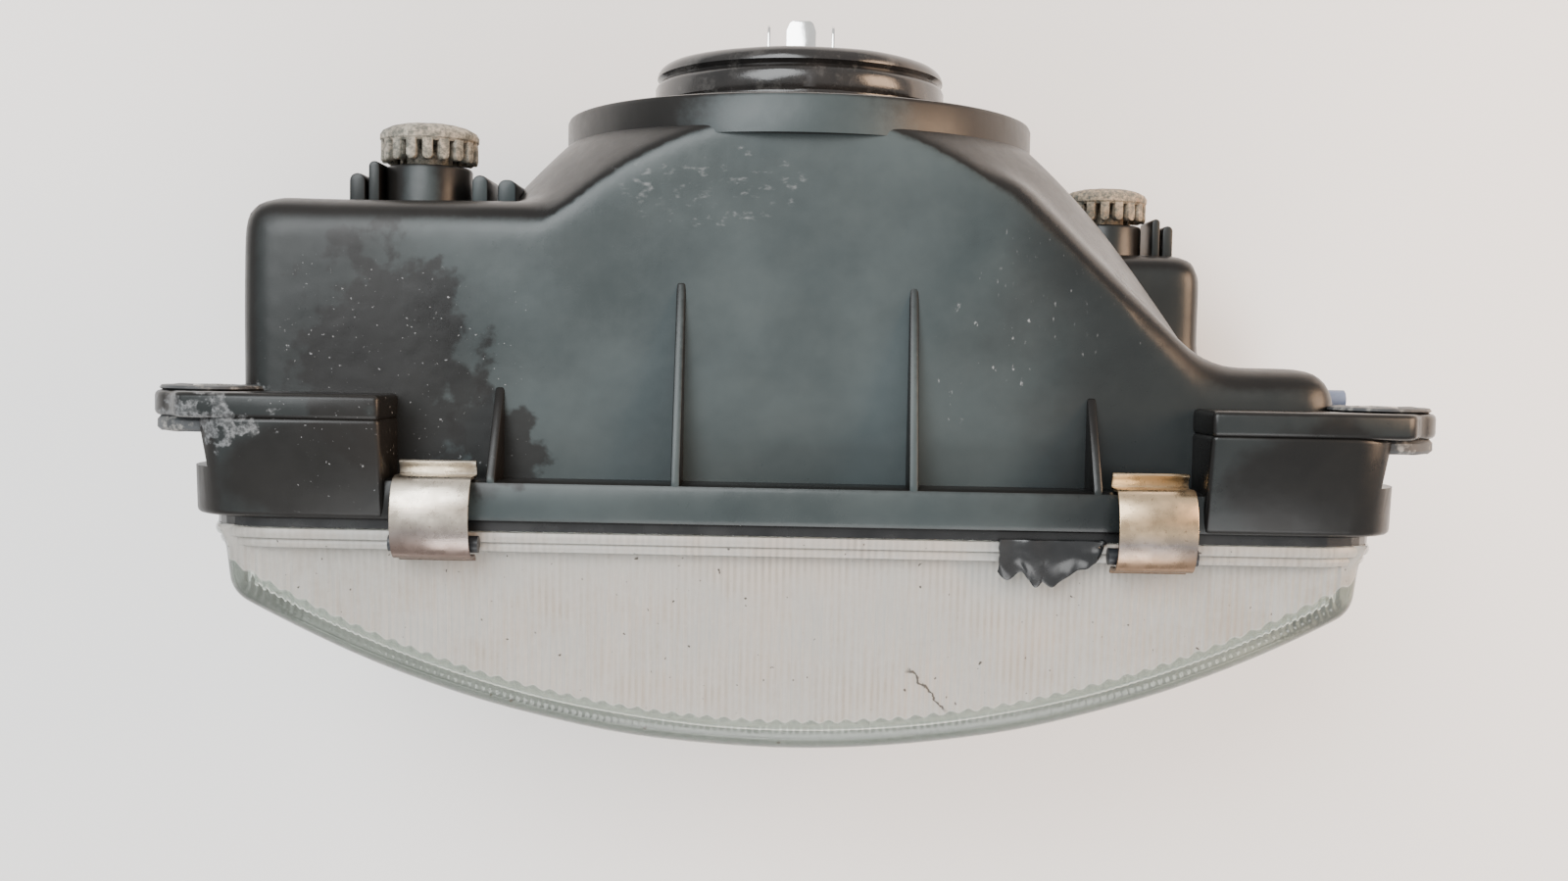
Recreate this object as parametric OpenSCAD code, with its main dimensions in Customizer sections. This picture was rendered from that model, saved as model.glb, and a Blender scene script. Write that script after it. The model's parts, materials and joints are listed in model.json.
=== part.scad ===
/* [Fixing ears] */
// Distance between the left and right ear holes
ear_pitch_x = 281; // [279:1:283]
// Distance between the upper and lower ear holes
ear_pitch_z = 120; // [118:1:122]
// Outer radius of each ear eye
ear_r = 13; // [12.5:0.25:13.5]
// Thickness of each ear plate
ear_plate_t = 6; // [5:0.5:6.5]
// Diameter of the bolt hole through each ear sleeve
ear_bolt_d = 6.5; // [6:0.1:7]

/* [Housing] */
// Half height of the housing between its flat top and bottom panels
body_half_h = 60; // [59.5:0.5:60.5]
// Distance from the bulb axis to the left side wall
body_left = 135.4; // [134:0.2:136]
// Distance from the bulb axis to the right side wall
body_right = 132; // [131:0.2:133]
// Rear face of the left wing, behind the ear faces
wing_rear = 46; // [45:0.5:47]
// Rear face of the right shoulder, behind the ear faces
shoulder_rear = 8.5; // [8:0.5:10]
// Thickness of the moulded walls
wall = 2.5; // [2:0.1:2.8]
// Outer radius of the round collar at the back
collar_r = 63.3; // [62.5:0.1:64]
// Rear edge of the collar, behind the ear faces
collar_rear = 72; // [71:0.5:73]
// Half width of the front flange
flange_half_w = 144; // [143:0.5:145]
// Half height of the front flange
flange_half_h = 72; // [71.5:0.25:72.5]
// Depth of the front flange
flange_depth = 9.8; // [9:0.2:10]
// Highest point of the corner boxes, above the bulb axis
corner_box_top = 78; // [76:0.5:79]

/* [Lens] */
// Half width of the lens rim
lens_rim_half_w = 141.7; // [141:0.1:142.5]
// Half height of the lens rim
lens_rim_half_h = 70; // [69.5:0.1:70.2]
// Thickness of the glass
glass_t = 4.5; // [4:0.1:5]
// How far the middle of the lens stands in front of the ear faces
lens_front = 86.5; // [84:0.5:88]
// Radius of the curved lens front, seen from above
lens_curve_r = 270; // [260:5:290]

/* [Lens clips] */
// Width of each steel clip
clip_w = 18.3; // [16:0.1:20]
// Distance of each clip from the bulb axis
clip_x = 84.3; // [80:0.5:88]
// Thickness of the clip strip
clip_t = 0.8; // [0.6:0.1:1]

/* [Reflector] */
// Focal length of the reflector
focal_length = 27; // [26:0.5:28]
// Half height of the reflector between its flat shelves
reflector_half_h = 52; // [50:0.5:53]
// Half width of the reflector's front frame
reflector_half_w = 124; // [120:0.5:125]

/* [Aiming] */
// Distance from the bulb axis to the pivot and the height adjuster
pivot_x = 95.4; // [94:0.2:97]
// Distance of the pivot and the side adjuster below the bulb axis
pivot_drop = 35; // [34:0.5:36]
// Distance of the side adjuster from the bulb axis
side_adjuster_x = 92; // [91:0.5:93]
// Height of the height adjuster above the bulb axis
height_adjuster_z = 30; // [29:0.5:31]
// Distance of all three ball centres behind the ear faces
ball_y = 18; // [17:0.5:19]
// Outer diameter of the hand wheels
wheel_d = 25; // [24:0.2:26]
// Number of crown teeth on each hand wheel
wheel_teeth = 18; // [14:1:20]
// Thread diameter of the aiming screws
screw_d = 6; // [5.8:0.1:6]

/* [Bulb and boot] */
// Outer radius of the rubber boot
boot_r = 39.7; // [39:0.1:40]
// Rearmost point of the boot
boot_rear = 88; // [87:0.5:89]
// Radius of the bulb glass
bulb_r = 8.5; // [8:0.1:9]
// Radius of the bulb's locating flange
bulb_flange_r = 21.5; // [21:0.1:21.6]
// Distance of the terminal blades from the bulb axis
blade_offset = 8.8; // [8.5:0.1:9]
// Rear tips of the terminal blades, behind the ear faces
blade_tip = 100; // [98:0.5:101]

/* [Hidden] */
$fn = 64;
cut = 1;                                   // how far a cutter runs past a face
gap = 0.3;                                 // clearance between pieces that move apart

// Stations along Y, the bulb axis
sleeve_lip = 1.4;                          // rear rubber lip of each ear grommet
ear_rear = -sleeve_lip;
ear_front = ear_rear - ear_plate_t;
front_lip = 3.6;
flange_rear = -21.2;
flange_front = flange_rear - flange_depth;
gasket_t = 2.2;
rim_rear = flange_front - gasket_t;
rim_t = 5.3;
rim_front = rim_rear - rim_t;
rear_wall_front = 67;
rear_wall_rear = 69.5;
seat_y = 62;                               // face that the bulb flange rests on

// Housing
dome_k = 138;                              // growth of the dome's radius squared
dome_apex = 93.8;
collar_front = 64;
service_hole_r = 44;
corner_box_in = 96;
corner_hollow_out = 124.5;                 // outer end of the hollow in each corner box
recess_r = 12.8;                           // room in front of each ear for a nut
recess_floor = -19;
recess_wall = 2;
wing_corner_r = 8;
box_x = [70, 117.5];                       // lower right box that holds the side adjuster
box_z = [-60, -14];
box_rear = 41;
boss_r = 11;
left_boss_rear = 56;
right_boss_rear = 50;
shank_r = screw_d / 2 + 0.4;
seal_pocket_r = 7.6;
seal_pocket_depth = 3;
stud_r = 4;

// Lens
lens_half_w = lens_rim_half_w - 4.7;
lens_half_h = lens_rim_half_h - 4;
lens_taper = 4;

// Reflector
reflector_apex = 60;
reflector_t = 2.2;
reflector_front = -28;
frame_t = 3;
hub_r = 36.9;
hub_bore_r = 19;
ball_r = 7;
cavity_r = ball_r + 0.2;
socket_r = 9;
socket_half = 5.5;
cup_r = 9;
cup_half = 7;
pivot_ball_r = 6;

pivot_at = [-pivot_x, ball_y, -pivot_drop];
vertical_at = [-pivot_x, ball_y, height_adjuster_z];
horizontal_at = [side_adjuster_x, ball_y, -pivot_drop];

// ---- Helpers -------------------------------------------------------------

// Turns a shape drawn up Z so that it runs rearward along Y from y0
module rearward(y0) {
    translate([0, y0, 0]) rotate([-90, 0, 0]) children();
}

// Extrudes an outline of X and Z from y0 to y1
module front_outline(y0, y1) {
    translate([0, y1, 0]) rotate([90, 0, 0]) linear_extrude(y1 - y0) children();
}

// Extrudes an outline of Y and Z from x0 to x1
module side_outline(x0, x1) {
    translate([x0, 0, 0]) rotate([90, 0, 90]) linear_extrude(x1 - x0) children();
}

// Turns a profile of radius and Y about the bulb axis
module turned(profile) {
    rearward(0) rotate_extrude() polygon(profile);
}

// Rectangle with round corners, centred on the bulb axis
module round_rect(half_w, half_h, r) {
    offset(r = r, $fn = 32) square([2 * (half_w - r), 2 * (half_h - r)], center = true);
}

// Box between two opposite corners
module block(low, high) {
    translate(low) cube(high - low);
}

// Repeats a shape of the upper right corner at all four corners
module four_corners() {
    for (side = [0, 1], end = [0, 1]) {
        mirror([side, 0, 0]) mirror([0, 0, end]) children();
    }
}

// Repeats a shape of the top at the bottom
module top_and_bottom() {
    for (end = [0, 1]) {
        mirror([0, 0, end]) children();
    }
}

// Unit normal to the left of a run from p to q
function left_of(p, q) = let(d = q - p) [-d[1], d[0]] / norm(d);

// Mean normal at point i of a path
function path_normal(path, i) =
    let(
        last = len(path) - 1,
        before = left_of(path[max(i - 1, 0)], path[max(i, 1)]),
        after = left_of(path[min(i, last - 1)], path[min(i + 1, last)]),
        sum = before + after
    )
    2 * sum / (sum * sum);

// Outline of a strip of thickness t that lies to the left of a path
function strip(path, t) = concat(
    path,
    [for (i = [len(path) - 1:-1:0]) path[i] + t * path_normal(path, i)]
);

// ---- Housing -------------------------------------------------------------

function dome_radius(y) = sqrt(dome_k * (dome_apex - y));

// Half of the dome's section, made smaller all round by inset
function dome_section(y0, y1, inset, steps = 14) = concat(
    [[0, y0]],
    [for (i = [0:steps]) let(y = y0 + (y1 - y0) * i / steps) [dome_radius(y) - inset, y]],
    [[0, y1]]
);

// Plan of the wings and the slanted right wall
module wing_plan(inset) {
    offset(r = wing_corner_r - inset, $fn = 32) offset(delta = -wing_corner_r) polygon([
        [-body_left, flange_front - wing_corner_r * 2], [-body_left, wing_rear],
        [0, wing_rear], [34, 58], [52, 56], [101.3, shoulder_rear],
        [body_right, shoulder_rear], [body_right, flange_front - wing_corner_r * 2]
    ]);
}

module body_solid(inset) {
    half_h = body_half_h - inset;
    translate([0, 0, -half_h]) linear_extrude(2 * half_h) wing_plan(inset);
    intersection() {
        turned(dome_section(flange_front, collar_front + 3 - inset, inset));
        block([-200, -100, -half_h], [200, 100, half_h]);
    }
    block([box_x[0] + inset, -10, box_z[0] + inset], [box_x[1] - inset, box_rear - inset, box_z[1] - inset]);
}

// Raised box at one front corner, hollow towards the inside
module corner_box() {
    side_outline(corner_box_in, flange_half_w) polygon([
        [flange_front, body_half_h - 12], [flange_front, flange_half_h],
        [ear_front, corner_box_top], [ear_front, body_half_h - 12]
    ]);
}

module corner_box_hollow() {
    side_outline(corner_box_in + wall, corner_hollow_out) polygon([
        [flange_rear - 2, body_half_h - 12], [flange_rear - 2, flange_half_h - wall],
        [ear_front - wall, corner_box_top - wall - 1], [ear_front - wall, body_half_h - 12]
    ]);
}

// Round space in front of an ear, made wider by extra
module ear_recess(front, extra) {
    translate([ear_pitch_x / 2, 0, ear_pitch_z / 2])
        rearward(front) cylinder(r = recess_r + extra, h = ear_front - front);
}

module ear_plate() {
    front_outline(ear_front, ear_rear) {
        translate([ear_pitch_x / 2, ear_pitch_z / 2]) circle(ear_r);
        translate([corner_box_in, ear_pitch_z / 2 - ear_r + 1])
            square([ear_pitch_x / 2 - corner_box_in, 2 * ear_r - 2]);
        translate([corner_box_in, ear_pitch_z / 2])
            square([flange_half_w - corner_box_in, corner_box_top - ear_pitch_z / 2]);
    }
}

// Thin gusset from the flange down to the flat panel
module gusset(x, rear) {
    side_outline(x - 1, x + 1) polygon([
        [flange_rear - 1, body_half_h - 1], [flange_rear - 1, flange_half_h],
        [flange_rear, flange_half_h], [rear, body_half_h], [rear, body_half_h - 1]
    ]);
}

module adjuster_boss(x, z, front, rear) {
    translate([x, 0, z]) rearward(front) cylinder(r = boss_r, h = rear - front);
}

module adjuster_bore(x, z, front, rear) {
    translate([x, 0, z]) {
        rearward(front - cut) cylinder(r = shank_r, h = rear - front + 2 * cut);
        rearward(rear - seal_pocket_depth) cylinder(r = seal_pocket_r, h = seal_pocket_depth + cut);
    }
}

// Fingers beside each hand wheel that guide the screwdriver
module guide_fingers() {
    block([-113.4, wing_rear - 1, 22], [-109.4, 53.5, 40]);
    block([-108.6, wing_rear - 1, 22], [-105.8, 56.6, 40]);
    block([-82.5, wing_rear - 1, 22], [-78.5, 53.5, 40]);
    block([-76, wing_rear - 1, 22], [-71.4, 52.5, 40]);
    block([104.8, box_rear - 1, -43], [107.2, 52, -27]);
    block([108, box_rear - 1, -43], [111, 50, -27]);
}

module housing() {
    color([0.16, 0.16, 0.17]) difference() {
        union() {
            difference() {
                union() {
                    body_solid(0);
                    turned([[0, 60], [collar_r, collar_front], [collar_r, collar_rear], [0, collar_rear]]);
                    front_outline(flange_front, flange_rear)
                        round_rect(flange_half_w, flange_half_h, 20);
                    four_corners() corner_box();
                }
                difference() {
                    body_solid(wall);
                    block([-200, rear_wall_front, -100], [200, 100, 100]);
                }
                four_corners() corner_box_hollow();
                rearward(rear_wall_rear) cylinder(r = collar_r - wall, h = 10);
                rearward(50) cylinder(r = service_hole_r, h = 30);
            }
            four_corners() {
                ear_plate();
                intersection() {
                    corner_box();
                    ear_recess(flange_rear, recess_wall);
                }
            }
            top_and_bottom() for (side = [-1, 1]) {
                gusset(side * 71.3, 0.7);
                gusset(side * 28, 26.6);
            }
            adjuster_boss(-pivot_x, height_adjuster_z, wing_rear - wall - 2, left_boss_rear);
            adjuster_boss(side_adjuster_x, -pivot_drop, box_rear - wall, right_boss_rear);
            translate([-pivot_x, 0, -pivot_drop]) rearward(34) cylinder(r = 8, h = wing_rear - 35);
            guide_fingers();
        }
        block([-200, -100, -100], [200, flange_front, 100]);
        adjuster_bore(-pivot_x, height_adjuster_z, wing_rear - wall - 2, left_boss_rear);
        adjuster_bore(side_adjuster_x, -pivot_drop, box_rear - wall, right_boss_rear);
        translate([-pivot_x, 0, -pivot_drop]) rearward(30) cylinder(r = stud_r + 0.05, h = 30);
        four_corners() ear_recess(recess_floor, 0);
        four_corners() translate([ear_pitch_x / 2, 0, ear_pitch_z / 2])
            rearward(ear_front - cut) cylinder(r = 9, h = ear_plate_t + 2 * cut);
        translate([body_right - 10, 1, 40]) rotate([0, 90, 0]) cylinder(r = 2.55, h = 20);
    }
}

module breather_tube() {
    color([0.35, 0.4, 0.45]) translate([body_right - 4, 1, 40]) rotate([0, 90, 0]) difference() {
        union() {
            cylinder(r = 2.5, h = 11);
            translate([0, 0, 4.1]) cylinder(r = 3.6, h = 1.2);
        }
        translate([0, 0, -cut]) cylinder(r = 1.4, h = 14);
    }
}

// ---- Fixing ears ---------------------------------------------------------

module ear_grommets() {
    color([0.1, 0.1, 0.1]) four_corners() translate([ear_pitch_x / 2, 0, ear_pitch_z / 2])
        difference() {
            union() {
                rearward(ear_front) cylinder(r = 8.95, h = ear_plate_t);
                intersection() {
                    rearward(ear_rear) cylinder(r = 12, h = sleeve_lip - 0.1);
                    block([body_left + gap - ear_pitch_x / 2, ear_rear, -20], [20, 0, 20]);
                }
                rearward(ear_front - front_lip) cylinder(r = 12.4, h = front_lip);
            }
            rearward(-20) cylinder(r = 4.55, h = 30);
        }
}

module ear_sleeves() {
    color([0.6, 0.6, 0.6]) four_corners() translate([ear_pitch_x / 2, 0, ear_pitch_z / 2])
        rearward(ear_front - front_lip) difference() {
            cylinder(r = 4.5, h = -ear_front + front_lip);
            translate([0, 0, -cut]) cylinder(r = ear_bolt_d / 2, h = 30);
        }
}

// ---- Lens, gasket and clips ----------------------------------------------

// Space inside the lens front, made smaller all round by inset
module lens_form(inset) {
    intersection() {
        front_outline(-lens_front - 10, rim_rear + inset)
            square([2 * (lens_half_w - inset), 2 * lens_half_h], center = true);
        translate([0, -lens_front + lens_curve_r, 0])
            cylinder(r = lens_curve_r - inset, h = 300, center = true, $fn = 256);
        side_outline(-200, 200) polygon([
            [rim_rear + inset, -lens_half_h + inset], [rim_rear + inset, lens_half_h - inset],
            [-lens_front - 10, lens_half_h - lens_taper - inset],
            [-lens_front - 10, -lens_half_h + lens_taper + inset]
        ]);
    }
}

module lens() {
    color([0.75, 0.8, 0.75, 0.6]) difference() {
        union() {
            lens_form(0);
            front_outline(rim_front, rim_rear) round_rect(lens_rim_half_w, lens_rim_half_h, 19);
        }
        lens_form(glass_t);
    }
}

module lens_gasket() {
    color([0.08, 0.08, 0.08]) front_outline(rim_rear, flange_front) difference() {
        round_rect(lens_rim_half_w - 0.6, lens_rim_half_h - 0.6, 18.4);
        round_rect(lens_half_w - glass_t - 1, lens_half_h - glass_t, 12);
    }
}

// Section of a clip: rear tab, hook behind the flange, arch, and front leg on the lens rim
clip_path = [
    [-16.6, 68.2], [-19.6, 66.6], [flange_rear + gap, 67.6], [flange_rear + gap, 73.4],
    [-23.5, 75.6], [-27, 76.9], [-31, 77.4], [-35, 76.9], [-38, 75.4],
    [rim_front - gap, 73], [rim_front - gap, 69.3], [rim_front - 1.6, 67.2]
];

module lens_clip(side, end) {
    color([0.6, 0.58, 0.53]) mirror([0, 0, end]) mirror([side, 0, 0])
        side_outline(clip_x - clip_w / 2, clip_x + clip_w / 2) polygon(strip(clip_path, -clip_t));
}

// Rubber rods that lie on the lens rim under the clips
module clip_pads() {
    color([0.1, 0.1, 0.1]) four_corners() translate([clip_x - 10.5, -36.1, lens_rim_half_h + 2.05])
        rotate([0, 90, 0]) cylinder(r = 2, h = 21);
}

// ---- Reflector -----------------------------------------------------------

function dish_radius(y) = sqrt(4 * focal_length * (reflector_apex - y));

function dish_section(y0, y1, grow, steps = 12) = concat(
    [[0, y0]],
    [for (i = [0:steps]) let(y = y0 + (y1 - y0) * i / steps) [dish_radius(y) + grow, y]],
    [[0, y1]]
);

module dish(grow, front, rear) {
    intersection() {
        turned(dish_section(front, rear, grow));
        block([-200, -100, -reflector_half_h - grow], [200, 100, reflector_half_h + grow]);
    }
}

// Strut from the dish out to a ball socket, as a plate across the bulb axis
module socket_plate(at, reach, half_w) {
    inner = at[0] - sign(at[0]) * reach;
    block(
        [min(at[0], inner), at[1] - 3, at[2] - half_w],
        [max(at[0], inner), at[1] + 3, at[2] + half_w]
    );
    translate(at) rearward(-3) cylinder(r = 12.5, h = 6);
}

module reflector() {
    color([0.72, 0.72, 0.74]) difference() {
        union() {
            dish(reflector_t, reflector_front, 54);
            rearward(44) cylinder(r = hub_r, h = seat_y - 44);
            rearward(seat_y - cut) cylinder(r = hub_r, h = 69 - seat_y + cut);
            front_outline(reflector_front - frame_t, reflector_front)
                round_rect(reflector_half_w, reflector_half_h + 2, 12);
            socket_plate(vertical_at, 40, 8);
            socket_plate(horizontal_at, 40, 8);
            block(pivot_at - [8.5, 11.5, 12.5], pivot_at + [8.5, 8, 12.5]);
            block(pivot_at + [8, -11.5, -8], pivot_at + [40, -3, 8]);
        }
        dish(0, reflector_front - frame_t - cut, 57);
        rearward(seat_y) cylinder(r = hub_r - 2, h = 20);
        rearward(30) cylinder(r = hub_bore_r, h = 60);
        for (at = [vertical_at, horizontal_at]) {
            translate(at) rearward(-20) cylinder(r = socket_r + 0.05, h = 40);
        }
        translate(pivot_at) rotate([0, 90, 0]) cylinder(r = cup_r + 0.1, h = 60, center = true);
        block(pivot_at + [-20, 0, -6.5], pivot_at + [20, 20, 6.5]);
        for (turn = [0:2]) {
            rotate([0, 120 * turn + 30, 0]) translate([27, 0, 0])
                rearward(57) cylinder(r = 1.05, h = 20);
        }
    }
}

// ---- Bulb and what holds it ----------------------------------------------

module bulb_holder_ring() {
    color([0.65, 0.62, 0.5]) difference() {
        turned([[21.8, seat_y], [31, seat_y], [31, seat_y + 1.2], [21.8, seat_y + 1.2]]);
        for (turn = [0:2]) {
            rotate([0, 120 * turn + 30, 0]) translate([27, 0, 0]) rearward(50) cylinder(r = 1.05, h = 20);
        }
    }
}

module holder_rivets() {
    color([0.7, 0.7, 0.7]) for (turn = [0:2]) {
        rotate([0, 120 * turn + 30, 0]) translate([27, 0, 0]) {
            rearward(57.2) cylinder(r = 1, h = seat_y - 56);
            rearward(seat_y + 1.2) cylinder(r1 = 2.2, r2 = 1.4, h = 1);
        }
    }
}

retainer_wire_r = 0.7;
retainer_y = seat_y + 2.3;
retainer_half_h = 21;
retainer_half_w = 15;

// Hairpin spring: two legs, a bar across the top and a hinge pin at the bottom
module bulb_retainer() {
    color([0.7, 0.7, 0.72]) {
        for (side = [-1, 1]) {
            translate([side * retainer_half_w, retainer_y, -retainer_half_h])
                cylinder(r = retainer_wire_r, h = 2 * retainer_half_h);
        }
        for (z = [-retainer_half_h, retainer_half_h]) {
            translate([0, retainer_y, z]) rotate([0, 90, 0])
                cylinder(r = retainer_wire_r + 0.1, h = 2 * retainer_half_w + 2, center = true);
        }
    }
}

module bulb_flange() {
    color([0.7, 0.68, 0.6]) difference() {
        union() {
            rearward(seat_y) cylinder(r = bulb_flange_r, h = 1.2);
            rearward(50) cylinder(r = 11, h = seat_y - 50 + cut);
            for (turn = [90, 215, 325]) {
                rotate([0, turn, 0]) block([17, 60, -4], [bulb_flange_r - 4, seat_y + 1, 4]);
            }
        }
        rearward(40) cylinder(r = bulb_r + 0.05, h = 20);
    }
}

module bulb_insulator() {
    color([0.13, 0.13, 0.14]) difference() {
        rearward(seat_y + 1.2) cylinder(r = 13, h = 22.8);
        for (turn = [0, 90, 180]) {
            rotate([0, -turn, 0]) block([blade_offset - 0.45, 75, -4.05], [blade_offset + 0.45, 90, 4.05]);
        }
    }
}

// One blade lies flat above the axis and two stand at the sides
module bulb_terminals() {
    color([0.85, 0.85, 0.82]) for (turn = [0, 90, 180]) {
        rotate([0, -turn, 0]) side_outline(blade_offset - 0.4, blade_offset + 0.4) polygon([
            [76, -4], [blade_tip - 1.5, -4], [blade_tip, -3], [blade_tip, 3], [blade_tip - 1.5, 4], [76, 4]
        ]);
    }
}

// Section of the glass tube with its round front end, made smaller by inset
function bulb_section(inset) = concat(
    [[0, 59 - inset], [bulb_r - inset, 59 - inset]],
    [for (a = [0:15:90]) [(bulb_r - inset) * cos(a), 11 - (bulb_r - inset) * sin(a)]]
);

module bulb_glass() {
    color([0.85, 0.9, 0.95, 0.4]) difference() {
        turned(bulb_section(0));
        turned(bulb_section(1));
    }
}

module bulb_filaments() {
    color([0.4, 0.4, 0.42]) {
        translate([0, 30, 0]) rearward(0) cylinder(r = 0.7, h = 5.5);
        translate([0, 38.5, 0.8]) rearward(0) cylinder(r = 0.7, h = 5.5);
        translate([0, 30.5, 0]) cylinder(r = 0.35, h = 5);
        translate([0, 44, 0.8]) cylinder(r = 0.35, h = 4.2);
        translate([0, 29, 4.6]) rearward(0) cylinder(r = 0.35, h = 28);
    }
}

module bulb_shield() {
    color([0.6, 0.6, 0.62]) difference() {
        rearward(28) cylinder(r = 6, h = 9);
        rearward(29) cylinder(r = 5.4, h = 9);
        block([-10, 20, -0.9], [10, 60, 10]);
    }
}

// Section of the boot: long skirt, groove, domed back with a hole for the bulb's terminals
boot_profile = concat(
    [[boot_r - 2.4, 66], [boot_r, 66], [boot_r, 82.4], [boot_r - 1.2, 83], [boot_r - 1.2, 83.8]],
    [for (a = [0:15:75]) [boot_r - 4.5 + 4.1 * cos(a), 84.4 + (boot_rear - 84.4) * sin(a)]],
    [[24, boot_rear], [17, boot_rear - 1.6], [17, boot_rear - 4.2], [24, boot_rear - 2.6],
     [33.6, 85.2], [boot_r - 3.4, 82], [boot_r - 3.4, 70], [boot_r - 2.4, 70]]
);

module dust_boot() {
    color([0.1, 0.09, 0.08]) turned(boot_profile);
}

// ---- Aiming gear ---------------------------------------------------------

module pivot_stud() {
    color([0.7, 0.7, 0.7]) {
        translate(pivot_at) sphere(r = pivot_ball_r);
        translate(pivot_at) rearward(4) cylinder(r = 3, h = 14);
        translate(pivot_at) rearward(16) cylinder(r = stud_r, h = wing_rear - ball_y - 15);
        translate([-pivot_x, 0, -pivot_drop]) rearward(wing_rear + 0.05) cylinder(r = 6.5, h = 4, $fn = 6);
    }
}

// Plastic cup that swings sideways on the ball and carries the reflector on its round outside
module pivot_cup() {
    color([0.85, 0.85, 0.8]) translate(pivot_at) difference() {
        rotate([0, 90, 0]) cylinder(r = cup_r, h = 2 * cup_half, center = true);
        sphere(r = pivot_ball_r + 0.15);
        rearward(0) cylinder(r1 = 3.6, r2 = 4.6, h = 20);
    }
}

// Hand wheel: crown teeth that face forward, a web, a domed back and a hollow neck
module hand_wheel(at, boss_rear) {
    wheel_r = wheel_d / 2;
    color([0.62, 0.58, 0.5]) translate([at[0], boss_rear, at[2]]) difference() {
        union() {
            rearward(-1.4) cylinder(r = 6, h = 8);
            rearward(6) cylinder(r = wheel_r, h = 3);
            rearward(9) cylinder(r1 = wheel_r, r2 = wheel_r - 4, h = 2);
            for (tooth = [0:wheel_teeth - 1]) {
                rotate([0, 360 * tooth / wheel_teeth, 0])
                    block([wheel_r - 3, 1, -1.3], [wheel_r - 0.25, 6.5, 1.3]);
            }
        }
        rearward(-3) cylinder(r = screw_d / 2 + 0.05, h = 13);
    }
}

// Threaded shank of an aiming screw, from inside the reflector's socket to the hand wheel
module aiming_screw(at, boss_rear) {
    front = ball_y - 8.5;
    color([0.75, 0.73, 0.65]) translate([at[0], 0, at[2]]) {
        rearward(front + 1.2) cylinder(r = screw_d / 2, h = boss_rear + 9 - front - 1.2);
        rearward(front) cylinder(r1 = 2, r2 = screw_d / 2, h = 1.2);
    }
}

// Plastic nut with a ball end, which runs along the screw without turning
module ball_nut(at, rear) {
    color([0.88, 0.88, 0.84]) translate(at) rearward(0) rotate_extrude() difference() {
        union() {
            circle(r = ball_r);
            square([4, rear]);
        }
        translate([-ball_r - cut, -ball_r - cut])
            square([ball_r + cut + screw_d / 2 + 0.05, 2 * ball_r + rear]);
    }
}

// Plastic socket that snaps into the reflector and holds the ball of the nut
module ball_socket(at) {
    color([0.85, 0.85, 0.8]) translate(at) rearward(0) rotate_extrude() difference() {
        union() {
            translate([0, -socket_half]) square([socket_r, 2 * socket_half]);
            translate([0, -4.5]) square([10.6, 1.4]);
        }
        circle(r = cavity_r);
    }
}

// Rubber ring in the boss around the neck of the hand wheel
module neck_seal(at, boss_rear) {
    color([0.1, 0.1, 0.1]) translate([at[0], boss_rear - seal_pocket_depth + 0.05, at[2]])
        rearward(0) difference() {
            cylinder(r = seal_pocket_r - 0.05, h = 1.4);
            translate([0, 0, -cut]) cylinder(r = screw_d / 2 + 0.1, h = 5);
        }
}

// Sprung washer that keeps the screw from moving rearward
module push_nut(at, boss_front) {
    color([0.7, 0.7, 0.7]) translate([at[0], boss_front - 1.05, at[2]])
        rearward(0) difference() {
            cylinder(r = 6, h = 0.9);
            translate([0, 0, -cut]) cylinder(r = screw_d / 2 + 0.02, h = 5);
        }
}

housing();
lens();
lens_gasket();
lens_clip(1, 0);  // lens_clip_top_left
lens_clip(0, 0);  // lens_clip_top_right
lens_clip(1, 1);  // lens_clip_bottom_left
lens_clip(0, 1);  // lens_clip_bottom_right
clip_pads();
ear_grommets();
ear_sleeves();
breather_tube();
reflector();
dust_boot();
bulb_holder_ring();
holder_rivets();
bulb_retainer();
bulb_flange();
bulb_insulator();
bulb_terminals();
bulb_glass();
bulb_filaments();
bulb_shield();
pivot_stud();
pivot_cup();
hand_wheel(vertical_at, left_boss_rear);  // vertical_wheel
aiming_screw(vertical_at, left_boss_rear);  // vertical_screw
ball_nut(vertical_at, 12);  // vertical_nut
ball_socket(vertical_at);  // vertical_socket
neck_seal(vertical_at, left_boss_rear);  // vertical_seal
push_nut(vertical_at, wing_rear - wall - 2);  // vertical_push_nut
hand_wheel(horizontal_at, right_boss_rear);  // horizontal_wheel
aiming_screw(horizontal_at, right_boss_rear);  // horizontal_screw
ball_nut(horizontal_at, 9.5);  // horizontal_nut
ball_socket(horizontal_at);  // horizontal_socket
neck_seal(horizontal_at, right_boss_rear);  // horizontal_seal
push_nut(horizontal_at, box_rear - wall);  // horizontal_push_nut
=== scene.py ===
import json
import math

import bmesh
import bpy
from mathutils import Matrix, Vector, noise


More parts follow.
